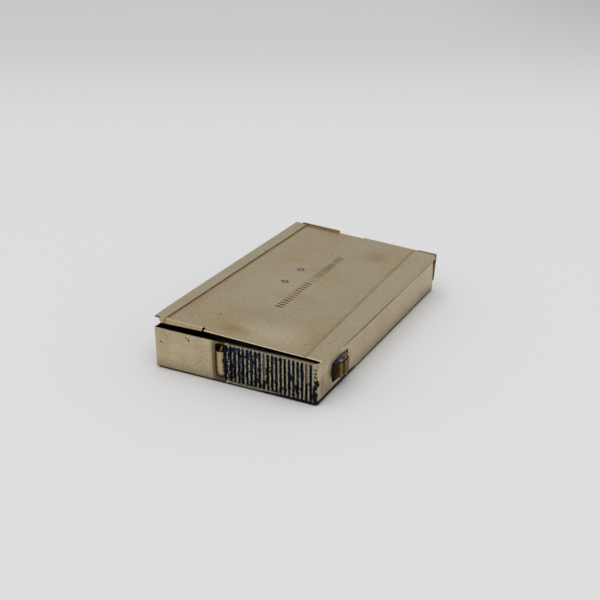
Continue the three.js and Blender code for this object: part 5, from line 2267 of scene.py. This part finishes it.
    def left_rail(self) -> Form:
        """The left strip: flat, rolled down along its outer edge, its front corner rounded off.

        Near the front the outer edge draws in, by an exponential of the distance.

        Returns:
            The surface.
        """
        mean = self.left_bend - self.sheet / 2
        start = self.left_x[1]
        run = start - (self.left_outer + self.left_bend)
        course = Course.of_legs((start, self.rail_z), 180.0, [(run, 0.0), (mean * math.pi / 2, 90.0)])
        low, high = self.left_y
        corners = [(start - self.left_x[0], low), (course.length, low), (course.length, high), (0, high)]
        u_lines = [np.linspace(0.6, run, 5), np.linspace(run + 0.06, course.length - 0.14, 6)]
        blank = Blank(
            rounded(corners, [0.12, 0.35, 0.5, 0.12], 8),
            self.sheet,
            step=0.3,
            u_lines=np.concatenate(u_lines),
            v_lines=np.arange(low + 0.45, high, 0.3),
        )
        bend = course.laid(Plane.XZ)

        def place(flat: Array) -> Array:
            """Places of the bent strip, drawn in and strayed, tipped."""
            x, y, z = bend(flat).T
            outer = smooth_step(-x, -self.left_x[1], -self.left_outer)
            by, over = self.left_drawn
            drawn = by * np.exp(-(y - low) / over) * outer
            stray = self.left_stray.at(y) * (1 - outer)
            dip = outer * (self.left_dip.height + self.left_dip.at(y, x)) / 2
            return self.tipped(np.stack([x + drawn + stray, y, z - dip], 1))

        return blank.form().bent(place)

    def right_rail(self) -> Form:
        """The right strip, rolled down over the hinge, its inner edge slightly lifted.

        Returns:
            The surface.
        """
        mean = self.right_roll - self.sheet / 2
        start = self.right_x[1]
        run = self.axis_x - start
        course = Course.of_legs((start, self.rail_z), 0.0, [(run, 0.0), (mean * math.pi / 2, -90.0)])
        low, high = self.right_y
        corners = [(self.right_x[0] - start, low), (course.length, low), (course.length, high), (0, high)]
        blank = Blank(
            rounded(corners, [0.15, 0.35, 0.3, 0.15]),
            self.sheet,
            step=0.3,
            u_lines=np.concatenate([np.arange(0.5, run, 0.7), np.linspace(run, course.length, 9)]),
            v_lines=np.arange(low + 0.6, high, 1.0),
        )
        bend = course.laid(Plane.XZ)

        def place(flat: Array) -> Array:
            """Places of the bent strip, its inner edge lifted and strayed, tipped."""
            x, y, z = bend(flat).T
            inner = 1 - smooth_step(x, 15.0, 18.0)
            lift = (self.right_lift.height + self.right_lift.at(y)) * inner
            return self.tipped(np.stack([x + self.right_stray.at(y) * inner, y, z + lift], 1))

        return blank.form().bent(place)

    def flange(self) -> Form:
        """The flange behind the back wall, with the shelf that passes under the right rail.

        Returns:
            The surface.
        """
        quarter = self.flange_bend * math.pi / 2
        rise = self.panel_z - self.flange_bend - self.flange_low
        shelf_left, shelf_right, shelf_front, corner_front = self.flange_shelf
        level = self.flange_y - self.flange_bend
        legs = [(rise, 0.0), (quarter, 90.0), (level - shelf_front, 0.0)]
        course = Course.of_legs((self.flange_y, self.flange_low), 90.0, legs)
        shelf_end, corner = (rise + quarter + level - y for y in (shelf_front, corner_front))
        left, right = self.flange_x
        corners = [(0, left), (self.flange_arm, left), (self.flange_arm, shelf_left), (shelf_end, shelf_left)]
        corners += [(shelf_end, shelf_right), (corner, shelf_right), (corner, right), (0, right)]
        u_lines = [np.arange(0.6, rise, 0.9), np.linspace(rise, rise + quarter, 7), [9.0, 9.8]]
        blank = Blank(
            rounded(corners, [0.9, 0.3, 0.15, 0.3, 0.3, 0.1, 0.3, 0.9]),
            self.sheet,
            step=0.25,
            u_lines=np.concatenate(u_lines),
            v_lines=np.arange(left + 0.6, right, 1.0),
        )
        return blank.laid(course, Plane.YZ).bent(self.tipped)

    def build(self, shop: Workshop) -> None:
        """Lays the lid's four sheets on the lid body.

        Args:
            shop: what lays the pieces.
        """
        shop.lay("lid_panel", self.panel(), "lid", ["cover_panel"], PANEL)
        shop.lay("lid_rail_left", self.left_rail(), "lid", ["left_rail"], RAIL)
        shop.lay("lid_rail_right", self.right_rail(), "lid", ["right_rail"], RIGHT_RAIL)
        shop.lay("lid_flange", self.flange(), "lid", ["back_flange"], FLANGE)


@dataclass
class Hinge:
    """Two leaves with rolled knuckles that interleave on a pin under the right rail."""

    lid: Lid
    front: float = -20.2
    back: float = 31.0
    knuckles: int = 7
    gap: float = 0.1
    sheet: float = 0.24
    knuckle: float = 0.46
    pin: float = 0.18
    roll: float = 305.0
    case_leaf: Triple = (18.45, 6.93, 1.55)
    crank: Legs = ((1.518, 0.0), (0.157, -30.0), (0.36, 0.0), (0.157, 30.0))
    lid_leaf: Triple = (17.45, 9.46, 0.98)

    def comb(self, course: Course, body: float, first: int) -> Blank:
        """A leaf blank: a plain strip with a tab for every other knuckle.

        Args:
            course: the line that it will be bent along.
            body: how wide the plain strip is.
            first: the first knuckle that it carries.

        Returns:
            The flat blank.
        """
        pitch = (self.back - self.front) / self.knuckles
        lows = self.front + np.arange(first, self.knuckles, 2) * pitch + self.gap / 2
        spans = [(low, low + pitch - self.gap) for low in lows]
        tabs = [[(body, a), (course.length, a), (course.length, b), (body, b)] for a, b in spans]
        corners = [(0, self.front), (body, self.front), *sum(tabs, []), (body, self.back), (0, self.back)]
        corners = np.array(corners)
        apart = np.hypot(*(corners - np.roll(corners, 1, 0)).T)
        return Blank(
            rounded(corners[apart > 0.02], 0.04, 3),
            self.sheet,
            ease=0.035,
            step=0.14,
            u_lines=np.arange(body - 0.5, course.length, 0.14),
            v_lines=np.arange(self.front + 0.5, self.back, 1.2),
        )

    def _rolled(self) -> Pair:
        """The leg of a leaf that is rolled round the pin."""
        return (self.knuckle - self.sheet / 2) * math.radians(self.roll), -self.roll

    def case_side(self) -> Form:
        """The leaf inside the right wall, cranked out to the pin and rolled round it.

        Returns:
            The surface.
        """
        x, z, body = self.case_leaf
        course = Course.of_legs((x, z), 90.0, [*self.crank, self._rolled()])
        return self.comb(course, body, 0).laid(course, Plane.XZ)

    def lid_side(self) -> Form:
        """The leaf under the right rail, with its knuckles rolled round the pin.

        Returns:
            The surface.
        """
        x, z, body = self.lid_leaf
        run = self.lid.axis_x - x
        slope = math.degrees(math.atan2(self.lid.axis_z + (self.knuckle - self.sheet / 2) - z, run))
        course = Course.of_legs((x, z), slope, [(run, 0.0), self._rolled()])
        return self.comb(course, body, 1).laid(course, Plane.XZ).bent(self.lid.tipped)

    def rod(self) -> Form:
        """The pin, turned upright and then laid along Y.

        Returns:
            The surface.
        """
        upright = turned(eased(stepped(self.front, [(self.pin, self.back)]), 0.06), 0, 0, 24)
        x, z = self.lid.axis_x, self.lid.axis_z
        return upright.bent(lambda at: np.stack([x + at[:, 0], at[:, 2], z + at[:, 1]], 1))

    def build(self, shop: Workshop) -> None:
        """Lays both leaves and the pin.

        Args:
            shop: what lays the pieces.
        """
        shop.lay("hinge_leaf_case", self.case_side(), "case", ["case_hinge_leaf"], LEAF)
        shop.lay("hinge_leaf_lid", self.lid_side(), "lid", ["lid_hinge_leaf"], LEAF)
        shop.lay("hinge_rod", self.rod(), "case", ["hinge_pin"], STEEL)


@dataclass
class Studio:
    """Pale floor, soft light and the camera of the photograph's view."""

    azimuth: float = 26.78
    elevation: float = 24.48
    distance: float = 0.22848
    target_z: float = 0.004
    lens: float = 59.99
    shift: Pair = (-0.0094, 0.01543)
    floor_colour: Colour = (226, 226, 227)
    far_colour: Colour = (213, 213, 214)
    dim_colour: Colour = (194, 194, 195)
    sky: float = 0.62
    lamp_power: float = 10.5
    lamp_size: float = 1.8
    lamp_at: Triple = (0.1, -0.3, 1.4)
    floor_half: float = 2.0
    floor_z: float = -2e-5

    def away(self) -> Vector:
        """Unit vector from the object to the camera."""
        a, e = math.radians(self.azimuth), math.radians(self.elevation)
        return Vector((math.sin(a) * math.cos(e), -math.cos(a) * math.cos(e), math.sin(e)))

    def camera(self) -> None:
        """Sets the camera, looking at a point just over the base."""
        lens = bpy.data.cameras.new("view")
        lens.lens = self.lens
        lens.sensor_width = 36.0
        lens.shift_x, lens.shift_y = self.shift
        lens.clip_start = 0.01
        camera = bpy.data.objects.new("view", lens)
        away = self.away()
        camera.location = Vector((0, 0, self.target_z)) + away * self.distance
        camera.rotation_euler = away.to_track_quat("Z", "Y").to_euler()
        bpy.context.scene.collection.objects.link(camera)
        bpy.context.scene.camera = camera

    def floor(self) -> None:
        """A wide floor whose colour falls off with distance behind the object and towards the far right:
        painted shade where the light falls off.
        """
        mesh = bpy.data.meshes.new("floor")
        line = np.linspace(-self.floor_half, self.floor_half, 9)
        x, y = np.meshgrid(line, line)
        places = np.stack([x.ravel(), y.ravel(), np.full(x.size, self.floor_z)], 1)
        mesh.from_pydata(places.tolist(), [], mesh_quads(len(line), len(line), False, False).tolist())
        bench = Bench("floor_paper")
        x_part, y_part, _ = bench.parts(bench.place())
        a = math.radians(self.azimuth)
        behind = y_part * math.cos(a) - x_part * math.sin(a)
        aside = x_part * math.cos(a) + y_part * math.sin(a)
        colour = bench.blend(behind.step(160.0, 400.0), self.floor_colour, self.far_colour)
        corner = aside.step(60.0, 260.0) * behind.step(200.0, 520.0)
        colour = bench.blend(corner, colour, self.dim_colour)
        sockets = {"Base Color": colour, "Roughness": 0.9, "Specular IOR Level": 0.1}
        mesh.materials.append(bench.finish(sockets))
        floor = bpy.data.objects.new("floor", mesh)
        bpy.context.scene.collection.objects.link(floor)

    def light(self) -> None:
        """An even pale sky and one wide lamp high above, a little in front."""
        world = bpy.data.worlds.new("sky")
        world.use_nodes = True
        ground = world.node_tree.nodes["Background"]
        ground.inputs["Color"].default_value = (1.0, 1.0, 1.0, 1.0)
        ground.inputs["Strength"].default_value = self.sky
        bpy.context.scene.world = world
        lamp = bpy.data.lights.new("soft_lamp", "AREA")
        lamp.shape = "SQUARE"
        lamp.size = self.lamp_size
        lamp.energy = self.lamp_power
        holder = bpy.data.objects.new("soft_lamp", lamp)
        holder.location = self.lamp_at
        holder.rotation_euler = Vector(self.lamp_at).to_track_quat("Z", "Y").to_euler()
        bpy.context.scene.collection.objects.link(holder)

    def build(self) -> None:
        """Sets the camera, the floor and the light."""
        self.camera()
        self.floor()
        self.light()
        bpy.context.scene.view_settings.view_transform = "Standard"


def main() -> None:
    """Builds the scene in order."""
    logging.basicConfig(level=logging.INFO, format="%(message)s")
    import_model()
    Studio().build()
    shop = Workshop()
    lid = Lid()
    for assembly in (CaseShell(), StrikerFront(), TapeChannel(), FeedWheel(), TapeSpool(), lid, Hinge(lid)):
        assembly.build(shop)
    log.info("%d pieces", len(shop.pieces))
    bpy.context.view_layer.update()


if __name__ == "__main__":
    main()
